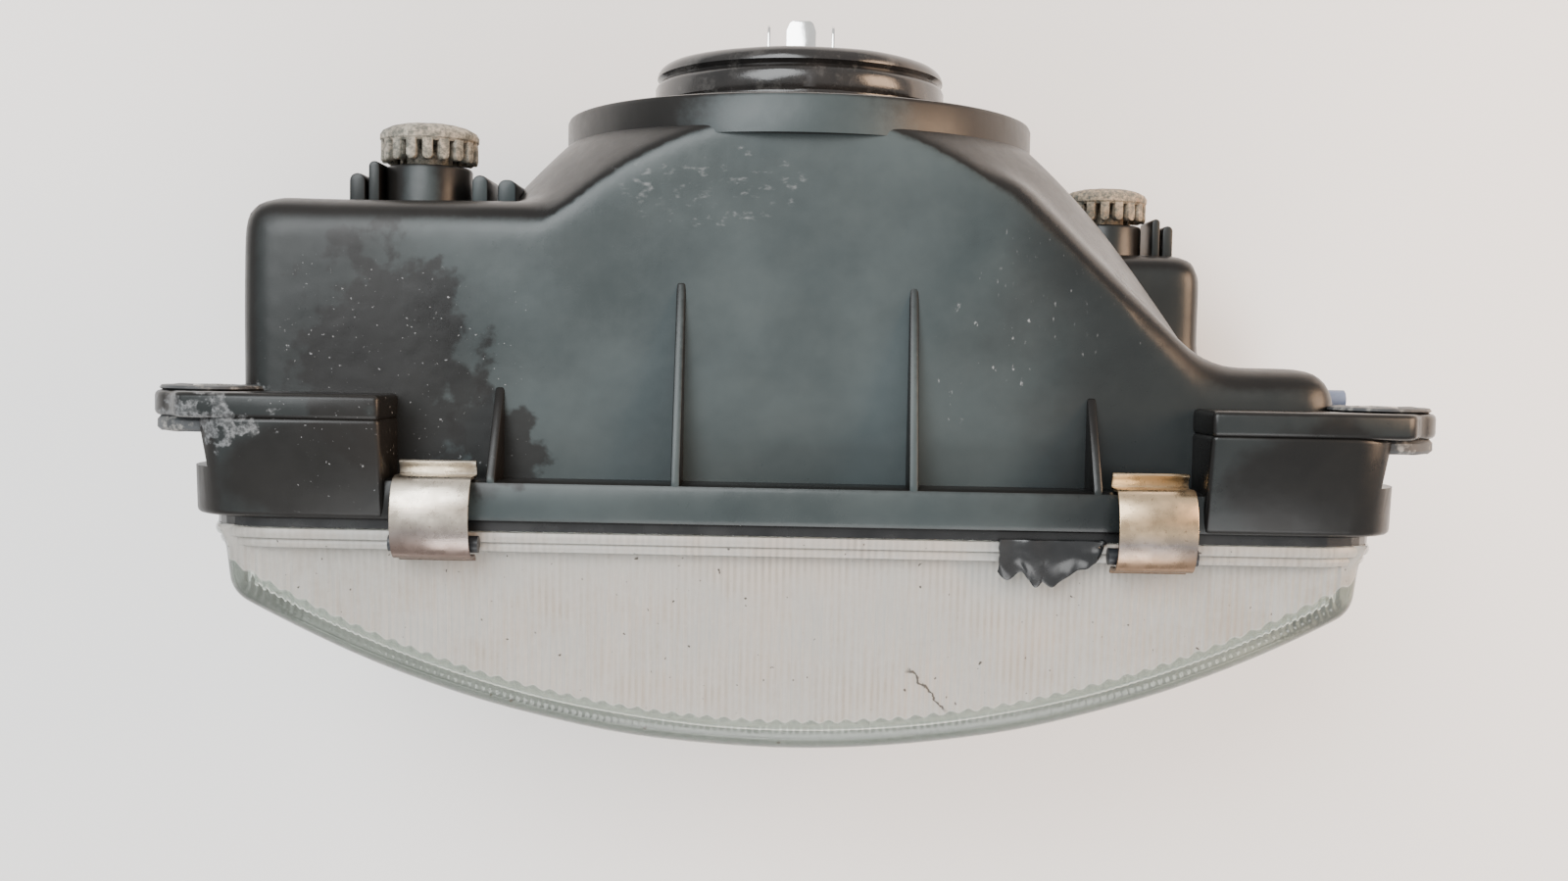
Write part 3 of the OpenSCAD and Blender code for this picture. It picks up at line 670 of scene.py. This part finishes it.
def bulb_glass_finish():
    """Clear glass with a trace of smoke."""
    f = Finish("bulb glass", IOR=1.46, Transmission_Weight=1.0)
    smoke = f.noise(9, detail=3)
    f.colour(f.ramp(smoke, (0.3, (0.90, 0.93, 0.95)), (0.7, (0.97, 0.98, 1.0))))
    f.rough(f.between(smoke, 0.3, 0.7, 0.01, 0.05))
    f.bump(f.noise(4), 0.02, 0.2)
    return f


finishes = {
    "housing": housing_plastic(),
    "lens": lens_glass(),
    "gasket": rubber("gasket rubber", (0.006, 0.007, 0.008), (0.016, 0.017, 0.018), (0.22, 0.42)),
    "clip_left": clip_steel("clip steel grey", warm=False),
    "clip_right": clip_steel("clip steel tan", warm=True),
    "pad": rubber("pad rubber", (0.008, 0.010, 0.013), (0.02, 0.022, 0.026)),
    "grommet": rubber("grommet rubber", (0.02, 0.022, 0.024), (0.06, 0.065, 0.07), (0.5, 0.8), dusty=0.8),
    "sleeve": metal("sleeve steel", (0.30, 0.29, 0.27), (0.5, 0.49, 0.47), rust=0.6),
    "breather": plastic("breather plastic", (0.10, 0.13, 0.20), (0.16, 0.20, 0.29)),
    "reflector": reflector_finish(),
    "boot": rubber("boot rubber", (0.008, 0.008, 0.008), (0.018, 0.016, 0.015), (0.16, 0.34), dusty=0.10),
    "holder": metal("holder zinc", (0.45, 0.43, 0.36), (0.62, 0.60, 0.52)),
    "retainer": metal("retainer wire", (0.50, 0.50, 0.52), (0.70, 0.70, 0.72)),
    "bulb_base": metal("bulb base metal", (0.48, 0.46, 0.38), (0.66, 0.64, 0.56)),
    "insulator": plastic("insulator plastic", (0.020, 0.020, 0.022), (0.035, 0.034, 0.034)),
    "terminal": metal("terminal metal", (0.75, 0.75, 0.73), (0.92, 0.92, 0.90), (0.12, 0.3),
                      lines=(1, 10, 1)),
    "bulb_glass": bulb_glass_finish(),
    "filament": metal("filament wire", (0.12, 0.12, 0.13), (0.24, 0.24, 0.26)),
    "wheel_vertical": wheel_finish("corroded wheel grey", warm=False),
    "wheel_horizontal": wheel_finish("corroded wheel tan", warm=True),
    "screw": metal("screw zinc", (0.40, 0.33, 0.18), (0.58, 0.50, 0.30), rust=0.25, lines=(10, 1, 10)),
    "nylon": plastic("white nylon", (0.60, 0.58, 0.50), (0.74, 0.72, 0.65)),
}


# ---- Housing -----------------------------------------------------------------


def cut(bm, tool):
    """Takes one closed mesh out of another."""
    mesh = bpy.data.meshes.new("cutter")
    tool.to_mesh(mesh)
    tool.free()
    cutter = bpy.data.objects.new("cutter", mesh)
    bpy.context.scene.collection.objects.link(cutter)
    result = shaped(bm, ("BOOLEAN", {"object": cutter, "operation": "DIFFERENCE", "solver": "EXACT"}))
    bpy.data.objects.remove(cutter)
    bpy.data.meshes.remove(mesh)
    return result


def trimmed(bm, place, facing, closed):
    """Cuts the mesh at a plane and drops what lies on the side it faces."""
    found = bmesh.ops.bisect_plane(bm, geom=bm.verts[:] + bm.edges[:] + bm.faces[:], plane_co=place,
                                   plane_no=facing, clear_outer=True)
    if closed:
        rim = [e for e in found["geom_cut"] if isinstance(e, bmesh.types.BMEdge)]
        bmesh.ops.holes_fill(bm, edges=rim, sides=0)
        bmesh.ops.recalc_face_normals(bm, faces=bm.faces)
    return bm


def moulded_shell():
    """Wing box, dome and side box run together with soft corners, open at the front and at the collar."""

    # The ends are drawn too long, and trimmed once the shape is smooth.
    front = flange_rear - 20
    rear = collar_front + 4

    # Seen from above, the right wing runs into the dome and then falls to a low shoulder.
    plan = [(wing_left, front), (wing_left, wing_rear), (0, wing_rear), (34, 58), (52, 56),
            (101.3, shoulder_rear), (wing_right, shoulder_rear), (wing_right, front)]
    wing = prism(plan, "Z", -body_half_h, body_half_h)
    behind_front = [e for e in sharp_edges(wing, 20) if max(v.co.y for v in e.verts) > front + 1]
    bmesh.ops.bevel(wing, geom=behind_front, offset=edge_round, segments=4, profile=0.5, affect="EDGES",
                    material=-1, clamp_overlap=True)
    steps = 24
    stations = [front + (rear - front) * i / steps for i in range(steps + 1)]
    curve = [(math.sqrt(dome_growth * (dome_apex - y)), y) for y in stations]
    dome = lathe([(0, front)] + curve + [(0, rear)], closed=False)
    for side in (-1, 1):
        trimmed(dome, (0, 0, side * body_half_h), (0, 0, side), closed=True)
    top_edges = [e for e in dome.edges if all(abs(abs(v.co.z) - body_half_h) < 0.01 for v in e.verts)
                 and e.is_manifold and e.calc_face_angle() > 0.2]
    bmesh.ops.bevel(dome, geom=top_edges, offset=4.0, segments=3, profile=0.5, affect="EDGES", material=-1,
                    clamp_overlap=True)
    (x0, y0, z0), (x1, y1, z1) = side_box
    side = prism([(x0, y0), (x1, y0), (x1, y1), (x0, y1)], "Z", z0, z1)
    round_edges(side, 7.0, segments=4)
    solid = add(wing, dome, side)
    solid = shaped(solid, ("REMESH", {"mode": "VOXEL", "voxel_size": 2.3, "use_smooth_shade": True}),
                   ("SMOOTH", {"factor": 0.5, "iterations": 7}))
    trimmed(solid, (0, flange_rear - 1.5, 0), (0, -1, 0), closed=False)
    trimmed(solid, (0, collar_front + 0.8, 0), (0, 1, 0), closed=False)
    worn(solid, 34.0, 0.35)
    return shaped(solid, ("SOLIDIFY", {"thickness": wall, "offset": -1.0, "use_rim": True}))


def collar():
    """Round collar, with the wall behind it and the service hole."""
    inner = collar_r - wall
    root = inner - 1.5
    band = [(root, collar_front - 1), (collar_r, collar_front - 1), (collar_r, collar_rear - 1.2),
            (collar_r - 0.4, collar_rear - 0.3), (collar_r - 1.1, collar_rear),
            (inner + 0.5, collar_rear - 0.2), (inner, collar_rear - 0.9), (inner, rear_wall_rear + 1)]
    back = [(inner - 1, rear_wall_rear), (service_hole_r + 0.6, rear_wall_rear),
            (service_hole_r, rear_wall_rear - 0.6), (service_hole_r, rear_wall_front + 0.6),
            (service_hole_r + 0.6, rear_wall_front), (root, rear_wall_front)]
    return lathe(band + back, steps=144)


def corner_block():
    """Box on the upper right corner, higher towards the rear, recessed before its bored ear plate."""
    side = wing_right - 1
    foot = [(box_inner_x, root_z), (side, root_z)]
    outer = arc((flange_half_w - box_corner_r, flange_half_h - box_corner_r), box_corner_r, 0, 90, 7)
    outline = foot + [(side, box_low_z), (flange_half_w, box_low_z)] + outer + [(box_inner_x, flange_half_h)]
    block = prism(outline, "Y", flange_front + 0.4, ear_front + 0.5)
    rise = housing_high.z - flange_half_h
    for v in block.verts:
        share = (v.co.y - flange_front) / (ear_front - flange_front)
        v.co.z += rise * share * max(0.0, (v.co.z - body_half_h) / (flange_half_h - body_half_h)) * 0.9
    round_edges(block, 1.4, segments=3, least=38)
    top = housing_high.z - 0.2
    eye = arc((ear_x, ear_z), ear_eye_r, -90, 62, 18)
    shoulder = [(144.6, 74.6), (143.4, 76.8), (141, top)]
    plate_outline = foot + [(side, box_low_z + 0.9)] + eye + shoulder + [(box_inner_x, top)]
    plate = prism(plate_outline, "Y", ear_front, ear_rear)
    round_edges(plate, 1.3, segments=3, least=38)
    hole = plug(ear_hole_r, -12, 2, (ear_x, ear_z))
    recess = plug(recess_r, recess_floor, ear_front, (ear_x, ear_z))
    return add(cut(block, recess), cut(plate, hole))


def gusset(x, rear):
    """Fin on top of the body that props the flange from behind."""
    front = flange_rear - 1.5
    top = flange_half_h - 0.4
    outline = [(front, root_z), (front, top), (flange_rear + 0.8, top), (rear, body_half_h), (rear, root_z)]
    return round_edges(prism(outline, "X", x - gusset_half, x + gusset_half), 0.6, segments=2)


def adjuster_boss(name):
    """Round boss whose rear end is counterbored for the seal and bored for the screw."""
    front, rear, middle = boss_front[name], boss_rear[name], wheel_middle[name]
    step = rear - seal_bore_depth
    outside = [(boss_r, front), (boss_r, rear - 0.9), (boss_r - 0.3, rear - 0.25), (boss_r - 0.9, rear)]
    counterbore = [(seal_bore_r + 0.35, rear), (seal_bore_r, rear - 0.35), (seal_bore_r, step)]
    profile = [(screw_bore_r, front)] + outside + counterbore + [(screw_bore_r, step)]
    return lathe(profile, 64, centre=(middle.x, middle.z))


def finger(x0, x1, front, rear, z0, z1):
    """Upright guide beside a hand wheel, round at its rear end."""
    r = min((x1 - x0) / 2 - 0.05, 1.9)
    outline = ([(x0, front), (x1, front)] + arc((x1 - r, rear - r), r, 0, 90, 4)
               + arc((x0 + r, rear - r), r, 90, 180, 4))
    return round_edges(prism(outline, "Z", z0, z1), 0.5, segments=2, least=50)


def make_housing():
    """The shell with its collar, flange, corner boxes, gussets, bosses and guides."""
    bm = moulded_shell()
    for name, middle in wheel_middle.items():
        bore = plug(screw_bore_r, screw_bore_front, hub_front[name] + 1, (middle.x, middle.z), steps=32)
        bm = cut(bm, bore)
    add(bm, collar())
    flange = round_frame(flange_half_w, flange_half_h, flange_corner_r, flange_band, flange_front,
                         flange_rear, edge=1.6)
    add(bm, worn(flange, 20.0, 0.12))
    add(bm, at_four_corners(corner_block()))
    fins = bmesh.new()
    for side in (-1, 1):
        for x, rear in gussets:
            add(fins, gusset(side * x, rear))
    add(fins, mirrored(fins, "Z"))
    add(bm, fins)
    for name in wheel_middle:
        add(bm, adjuster_boss(name))
    for x0, x1, rear in left_fingers:
        add(bm, finger(x0, x1, wing_rear - 2, rear, *left_finger_z))
    for x0, x1, rear in right_fingers:
        add(bm, finger(x0, x1, side_box_rear - 2, rear, *right_finger_z))
    finish_piece(bm, "moulded_housing", "housing", finishes["housing"],
                 stands_for=["housing"])


make_housing()


# ---- Lens --------------------------------------------------------------------


def plan_point(u, inset):
    """Point and outward direction on the lens's plan outline, u from 0 (left rim) to 1 (right rim)."""
    side = 1 if u > 0.5 else -1
    along = abs(u - 0.5) * 2
    past_front = along - front_share
    past_corner = along - (front_share + corner_share)
    turn = corner_turn
    if past_front < 0:
        turn = front_turn * along / front_share
    elif past_corner < 0:
        turn = front_turn + (corner_turn - front_turn) * (past_front / corner_share)
    out = Vector((math.sin(turn), -math.cos(turn)))
    if past_front < 0:
        spot = Vector((0, front_centre_y)) + out * (lens_curve_r - inset)
    else:
        spot = Vector((corner_x, corner_y)) + out * (corner_r - inset)
    if past_corner >= 0:
        spot = spot.lerp(Vector((lens_half_w - inset, lens_rim_rear)), past_corner / side_share)
    return Vector((side * spot.x, spot.y)), Vector((side * out.x, out.y))


def wall_height(y, inset):
    """Height of the top wall, which falls away towards the front."""
    return lens_half_h - inset - lens_taper * (lens_rim_rear - y) / (lens_rim_rear - lens_front)


def wave(x, pitch, depth):
    """A ripple across the lens, from 0 to its depth."""
    return depth * (0.5 + 0.5 * math.cos(math.tau * x / pitch))


def lens_sheet(inset, fluted):
    """One surface of the glass: top wall, front and bottom wall, drawn from rim to rim.

    The outer surface is fluted along its walls, the inner one has prisms across its front."""

    # Rows of faces in each wall, round each bend and across the front
    walls, bends, face = 7, 5, 14
    rows = 2 * walls + 2 * bends + face
    bm = bmesh.new()
    bmesh.ops.create_grid(bm, x_segments=glass_columns, y_segments=rows, size=1)
    bend_r = max(edge_bend_r - inset, 2.0)
    for v in bm.verts:
        u, row = (v.co.x + 1) / 2, round((v.co.y + 1) / 2 * rows)
        side = 1 if row <= rows / 2 else -1
        row = min(row, rows - row)
        spot, out = plan_point(u, inset)
        top = wall_height(spot.y, inset)
        bend = min(bend_r, max(0.0, lens_rim_rear - spot.y) * 0.8)
        if row <= walls:
            share = row / walls
            x = spot.x - out.x * bend
            y = lens_rim_rear + (spot.y - out.y * bend - lens_rim_rear) * share
            z = wall_height(y, inset)
            if fluted:
                z -= wave(x, flute_pitch, flute_depth) * min(1.0, share * 4)
        elif row <= walls + bends:
            turn = math.pi / 2 * (1 - (row - walls) / bends)
            reach = bend * (1 - math.cos(turn))
            x, y = spot.x - out.x * reach, spot.y - out.y * reach
            z = top - bend * (1 - math.sin(turn))
        else:
            share = (row - walls - bends) / (face / 2)
            x, y, z = spot.x, spot.y, (top - bend) * (1 - share)
        if not fluted and row > walls + bends:
            depth = wave(x, prism_pitch, prism_depth)
            x, y = x - out.x * depth, y - out.y * depth
        v.co = (x, y, z * side)
    return bm


def make_lens():
    """The two surfaces of the glass, joined at the rim, with the rim's two steps round them."""
    bm = add(bmesh.new(), lens_sheet(0.0, fluted=True), lens_sheet(glass, fluted=False))
    bm.verts.index_update()
    bm.verts.ensure_lookup_table()
    half = len(bm.verts) // 2
    rim = [[v.index for v in e.verts] for e in bm.edges if e.is_boundary and e.verts[0].index < half]
    for a, b in rim:
        bm.faces.new([bm.verts[i] for i in (a, b, b + half, a + half)])
    bmesh.ops.remove_doubles(bm, verts=bm.verts, dist=1e-3)
    bmesh.ops.dissolve_degenerate(bm, edges=bm.edges, dist=1e-4)
    bmesh.ops.recalc_face_normals(bm, faces=bm.faces)
    worn(bm, 26.0, 0.2, seed=4.0)
    rear_step = round_frame(half_w=141.7, half_h=70.0, radius=19.0, band=5.4, front=lens_rim_rear - 3.0,
                            rear=lens_rim_rear, edge=1.1)
    front_step = round_frame(half_w=140.6, half_h=68.9, radius=18.0, band=4.6, front=lens_rim_front,
                             rear=lens_rim_rear - 2.4, edge=1.3)
    add(bm, worn(rear_step, 12.0, 0.25), worn(front_step, 9.0, 0.35, seed=2.0))
    finish_piece(bm, "pressed_glass_lens", "housing", finishes["lens"], stands_for=["lens"])


make_lens()


# ---- Clips, seals and ears ---------------------------------------------------


def strip_section(path, thickness):
    """Outline of a bent strip whose inner face follows the path."""
    outer = []
    for i, (y, z) in enumerate(path):
        before, after = path[max(i - 1, 0)], path[min(i + 1, len(path) - 1)]
        along = (Vector(after) - Vector(before)).normalized()
        outer.append((y + along.y * thickness, z - along.x * thickness))
    return list(path) + outer[::-1]


def make_clips():
    """Four bent strips: a foot behind the flange, an arch over the rim and a lip in front of the rim."""
    foot = [(-16.6, 68.3), (-17.6, 67.5), (-18.8, 66.95), (-19.9, 66.9), (-20.7, 67.5), (-20.9, 68.4)]
    arch = arc((arch_y, arch_z), arch_half, 0, 180, 22, flat=arch_rise / arch_half)
    lip = [(-38.8, 71.0), (-38.8, 69.3), (-39.1, 68.4), (-40.1, 67.3)]
    outline = strip_section(foot + arch + lip, clip_thickness)
    for end in ("top", "bottom"):
        for side, seed in (("left", -3.0), ("right", 3.0)):
            node = f"lens_clip_{end}_{side}"
            low, high = extent(node)
            bm = prism(outline, "X", low.x, high.x)
            bmesh.ops.bisect_plane(bm, geom=bm.verts[:] + bm.edges[:] + bm.faces[:],
                                   plane_co=((low.x + high.x) / 2, 0, 0), plane_no=(1, 0, 0))
            round_edges(bm, 0.22, segments=2, least=60)
            worn(bm, 5.0, 0.08, seed)
            if end == "bottom":
                bmesh.ops.scale(bm, verts=bm.verts, vec=(1, 1, -1))
                bmesh.ops.reverse_faces(bm, faces=bm.faces)
            finish_piece(bm, f"spring_clip_{end}_{side}", f"clip_{end}_{side}",
                         finishes["clip_" + side], stands_for=[node])


make_clips()


def make_torn_seal():
    """Ragged tongue of seal that has worked out over the lens wall beside the upper right clip."""
    bm = bmesh.new()
    bmesh.ops.create_grid(bm, x_segments=60, y_segments=16, size=1)
    for v in bm.verts:
        u, t = (v.co.x + 1) / 2, (v.co.y + 1) / 2
        ragged = 1 + 0.45 * noise.noise(Vector((u * 7.0, 1.3, 0)))
        reach = tear_reach * math.sin(math.pi * min(1.0, u * 0.9 + 0.1)) ** 0.45 * ragged
        x = tear_left + tear_width * u + 1.2 * noise.noise(Vector((u * 3.0, t * 3.0, 5.0)))
        y = rim_edge_y - min(reach, tear_longest) * t
        z = tear_z + 0.55 * noise.noise(Vector((u * 5.0, t * 2.0, 9.0))) - 1.4 * t * t
        v.co = (x, y, z)
    bmesh.ops.recalc_face_normals(bm, faces=bm.faces)
    bm = shaped(bm, ("SOLIDIFY", {"thickness": 1.1, "offset": 0.0, "use_rim": True}),
                ("BEVEL", {"width": 0.3, "segments": 2, "limit_method": "ANGLE", "angle_limit": 1.0}))
    finish_piece(bm, "torn_seal", "housing", finishes["gasket"])


make_torn_seal()


def make_ear_parts():
    """Rubber bush and steel spacer in each ear."""
    grommet = lathe([(4.55, -10.6), (5.2, -11), (11.4, -11), (12.4, -10.2), (12.4, -8.4), (11.6, -7.5),
                     (8.95, -7.4), (8.95, -1.4), (11.2, -1.35), (12.0, -0.9), (11.6, -0.3), (10.4, -0.1),
                     (6.4, -0.1), (5.4, -0.3), (4.55, -0.9)], 64, centre=(ear_x, ear_z))
    worn(grommet, 4.0, 0.22, seed=1.0)
    finish_piece(at_four_corners(grommet), "ear_bushes", "housing", finishes["grommet"],
                 stands_for=["ear_grommets"])
    sleeve = lathe([(3.55, -11), (4.2, -11), (4.5, -10.7), (4.5, -0.3), (4.2, 0), (3.55, 0), (3.25, -0.3),
                    (3.25, -10.7)], 48, centre=(ear_x, ear_z))
    finish_piece(at_four_corners(sleeve), "ear_spacers", "housing", finishes["sleeve"],
                 stands_for=["ear_sleeves"])


make_ear_parts()


# ---- Boot, wheels and terminals ----------------------------------------------


def make_boot():
    """Round rubber cover with a grooved skirt and a face that dips in towards the bulb."""
    r, rear = boot_high.x, boot_high.y
    skirt = [(r - 2.4, 66), (r - 1.0, 66), (r - 0.2, 66.6), (r, 67.6), (r, 75.5), (r - 0.35, 76),
             (r - 0.35, 76.7), (r, 77.2), (r, 81.4), (r - 0.4, 82.3), (r - 1.2, 82.9), (r - 1.5, 83.4),
             (r - 1.1, 83.9)]
    lip = arc((r - 4.5, 84.4), 4.1, 0, 85, 9, flat=(rear - 84.4) / 4.1)
    face = [(30, rear - 0.15), (24, rear - 0.3), (21.5, rear - 0.2), (19, rear - 0.5), (17.4, rear - 1.4),
            (17, rear - 2.6), (17.3, rear - 3.8), (19, rear - 4.2), (24, rear - 2.9), (33.6, 85.0),
            (r - 3.6, 82), (r - 3.4, 70), (r - 2.4, 70)]
    bm = lathe(skirt + lip + face, 128)
    worn(bm, 16.0, 0.35, seed=6.0)
    finish_piece(bm, "rubber_boot", "dust_boot", finishes["boot"], stands_for=["dust_boot"])


make_boot()


def crown_teeth(radius, front):
    """Ring of teeth along the front of a hand wheel's rim, round at their tips."""
    tip = arc((0, 2.4), tooth_half, 0, -180, 6)
    outline = [(tooth_half, 6.6)] + tip[:-1] + [(-tooth_half, 2.4), (-tooth_half, 6.6)]
    teeth = bmesh.new()
    for i in range(tooth_count):
        tooth = prism([(front + y, z) for z, y in outline], "X", radius - 3.0, radius - 0.25)
        round_edges(tooth, 0.35, segments=2, least=50)
        turn = Matrix.Rotation(math.tau * i / tooth_count, 3, "Y")
        bmesh.ops.rotate(tooth, verts=tooth.verts, cent=(0, 0, 0), matrix=turn)
        add(teeth, tooth)
    return teeth


def make_wheels():
    """The two hand wheels, each a hub, a dished rim and crown teeth."""
    for name, seed in (("vertical", 1.0), ("horizontal", 7.0)):
        low, high = wheel_spots[name]
        middle, radius, front = wheel_middle[name], (high.x - low.x) / 2, boss_rear[name]
        hub = [(3.1, front - 1.3), (5.8, front - 1.3), (5.8, front + 3.6), (7.0, front + 5.2)]
        rim = [(radius - 3.4, front + 6.0), (radius - 0.7, front + 6.0), (radius, front + 6.8),
               (radius, front + 8.0), (radius - 0.6, front + 9.0), (radius - 2.4, front + 10.0),
               (radius - 5.0, front + 10.7), (4.4, front + 10.9), (3.4, front + 10.4), (3.1, front + 9.6)]
        bm = add(lathe(hub + rim), crown_teeth(radius, front))
        bmesh.ops.translate(bm, verts=bm.verts, vec=(middle.x, 0, middle.z))
        long_edges = [e for e in bm.edges if e.calc_length() > 3.0]
        bmesh.ops.subdivide_edges(bm, edges=long_edges, cuts=2, use_grid_fill=True)
        worn(bm, 1.8, 0.14, seed)
        finish_piece(bm, name + "_hand_wheel", name + "_adjuster",
                     finishes["wheel_" + name], stands_for=[name + "_wheel"])


make_wheels()


def make_terminals():
    """Three flat blades round the bulb's axis, with tapered ends."""
    high = extent("bulb_terminals")[1]
    root, tip, half_w, thickness = 76, high.y, 4, 0.8
    outline = [(root, -half_w), (tip - 2.6, -half_w), (tip - 0.6, -3.2), (tip, -2.4), (tip, 2.4),
               (tip - 0.6, 3.2), (tip - 2.6, half_w), (root, half_w)]
    bm = bmesh.new()
    for degrees in (0, 90, 180):
        blade = round_edges(prism(outline, "X", high.x - thickness, high.x), 0.18, segments=2, least=50)
        turn = Matrix.Rotation(-math.radians(degrees), 3, "Y")
        bmesh.ops.rotate(blade, verts=blade.verts, cent=(0, 0, 0), matrix=turn)
        add(bm, blade)
    finish_piece(bm, "terminal_blades", "reflector", finishes["terminal"],
                 stands_for=["bulb_terminals"])


make_terminals()


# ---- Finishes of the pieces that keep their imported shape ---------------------

plain_nodes = {
    "lens_gasket": "gasket", "clip_pads": "pad", "breather_tube": "breather", "reflector": "reflector",
    "bulb_holder_ring": "holder", "holder_rivets": "holder", "bulb_retainer": "retainer",
    "bulb_flange": "bulb_base", "bulb_insulator": "insulator", "bulb_glass": "bulb_glass",
    "bulb_filaments": "filament", "bulb_shield": "bulb_base", "pivot_stud": "screw", "pivot_cup": "nylon",
    "vertical_screw": "screw", "vertical_nut": "nylon", "vertical_socket": "nylon", "vertical_seal": "gasket",
    "vertical_push_nut": "holder", "horizontal_screw": "screw", "horizontal_nut": "nylon",
    "horizontal_socket": "nylon", "horizontal_seal": "gasket", "horizontal_push_nut": "holder",
}
for node, finish in plain_nodes.items():
    for entry in frame["nodes"][node].material_slots:
        entry.material = finishes[finish].material


# ---- Floor, light and camera -------------------------------------------------

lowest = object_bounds()[0].z
floor_mesh = bmesh.new()
bmesh.ops.create_grid(floor_mesh, x_segments=1, y_segments=1, size=3.0)
bmesh.ops.translate(floor_mesh, verts=floor_mesh.verts, vec=(0, 0, lowest))
floor_data = bpy.data.meshes.new("floor")
floor_mesh.to_mesh(floor_data)
floor_mesh.free()
floor = bpy.data.objects.new("floor", floor_data)
bpy.context.scene.collection.objects.link(floor)
floor_paint = Finish("floor paint")
floor_paint.colour((0.93, 0.915, 0.90, 1.0))
floor_paint.rough(0.7)
floor_data.materials.append(floor_paint.material)

world = bpy.data.worlds.new("studio")
world.use_nodes = True
world.node_tree.nodes["Background"].inputs["Color"].default_value = (0.97, 0.96, 0.95, 1)
world.node_tree.nodes["Background"].inputs["Strength"].default_value = 0.95
bpy.context.scene.world = world


def area_light(name, place, target, size, watts, colour=(1, 1, 1)):
    """Rectangular lamp at a place, turned to face a target."""
    data = bpy.data.lights.new(name, "AREA")
    data.shape, data.size, data.size_y = "RECTANGLE", size[0], size[1]
    data.energy, data.color = watts, colour
    lamp = bpy.data.objects.new(name, data)
    bpy.context.scene.collection.objects.link(lamp)
    lamp.location = place
    lamp.rotation_euler = (Vector(target) - Vector(place)).to_track_quat("-Z", "Y").to_euler()


area_light("soft box", (-0.45, 0.55, 1.1), (0, 0, 0), (0.9, 0.7), 21, (0.95, 0.98, 1.0))
area_light("warm side", (0.95, 0.25, 0.45), (0.05, 0, 0.03), (0.5, 0.5), 16, (1.0, 0.66, 0.42))
area_light("front fill", (0.1, -0.9, 0.8), (0, -0.03, 0), (0.9, 0.5), 9)

camera_data = bpy.data.cameras.new("camera")
camera_data.lens = 36
camera_data.sensor_width = 36
camera = bpy.data.objects.new("camera", camera_data)
bpy.context.scene.collection.objects.link(camera)
camera.location = (-0.003, 0.0085, 0.438)
camera.rotation_euler = (math.radians(-2.95), 0, math.radians(1.1))
bpy.context.scene.camera = camera
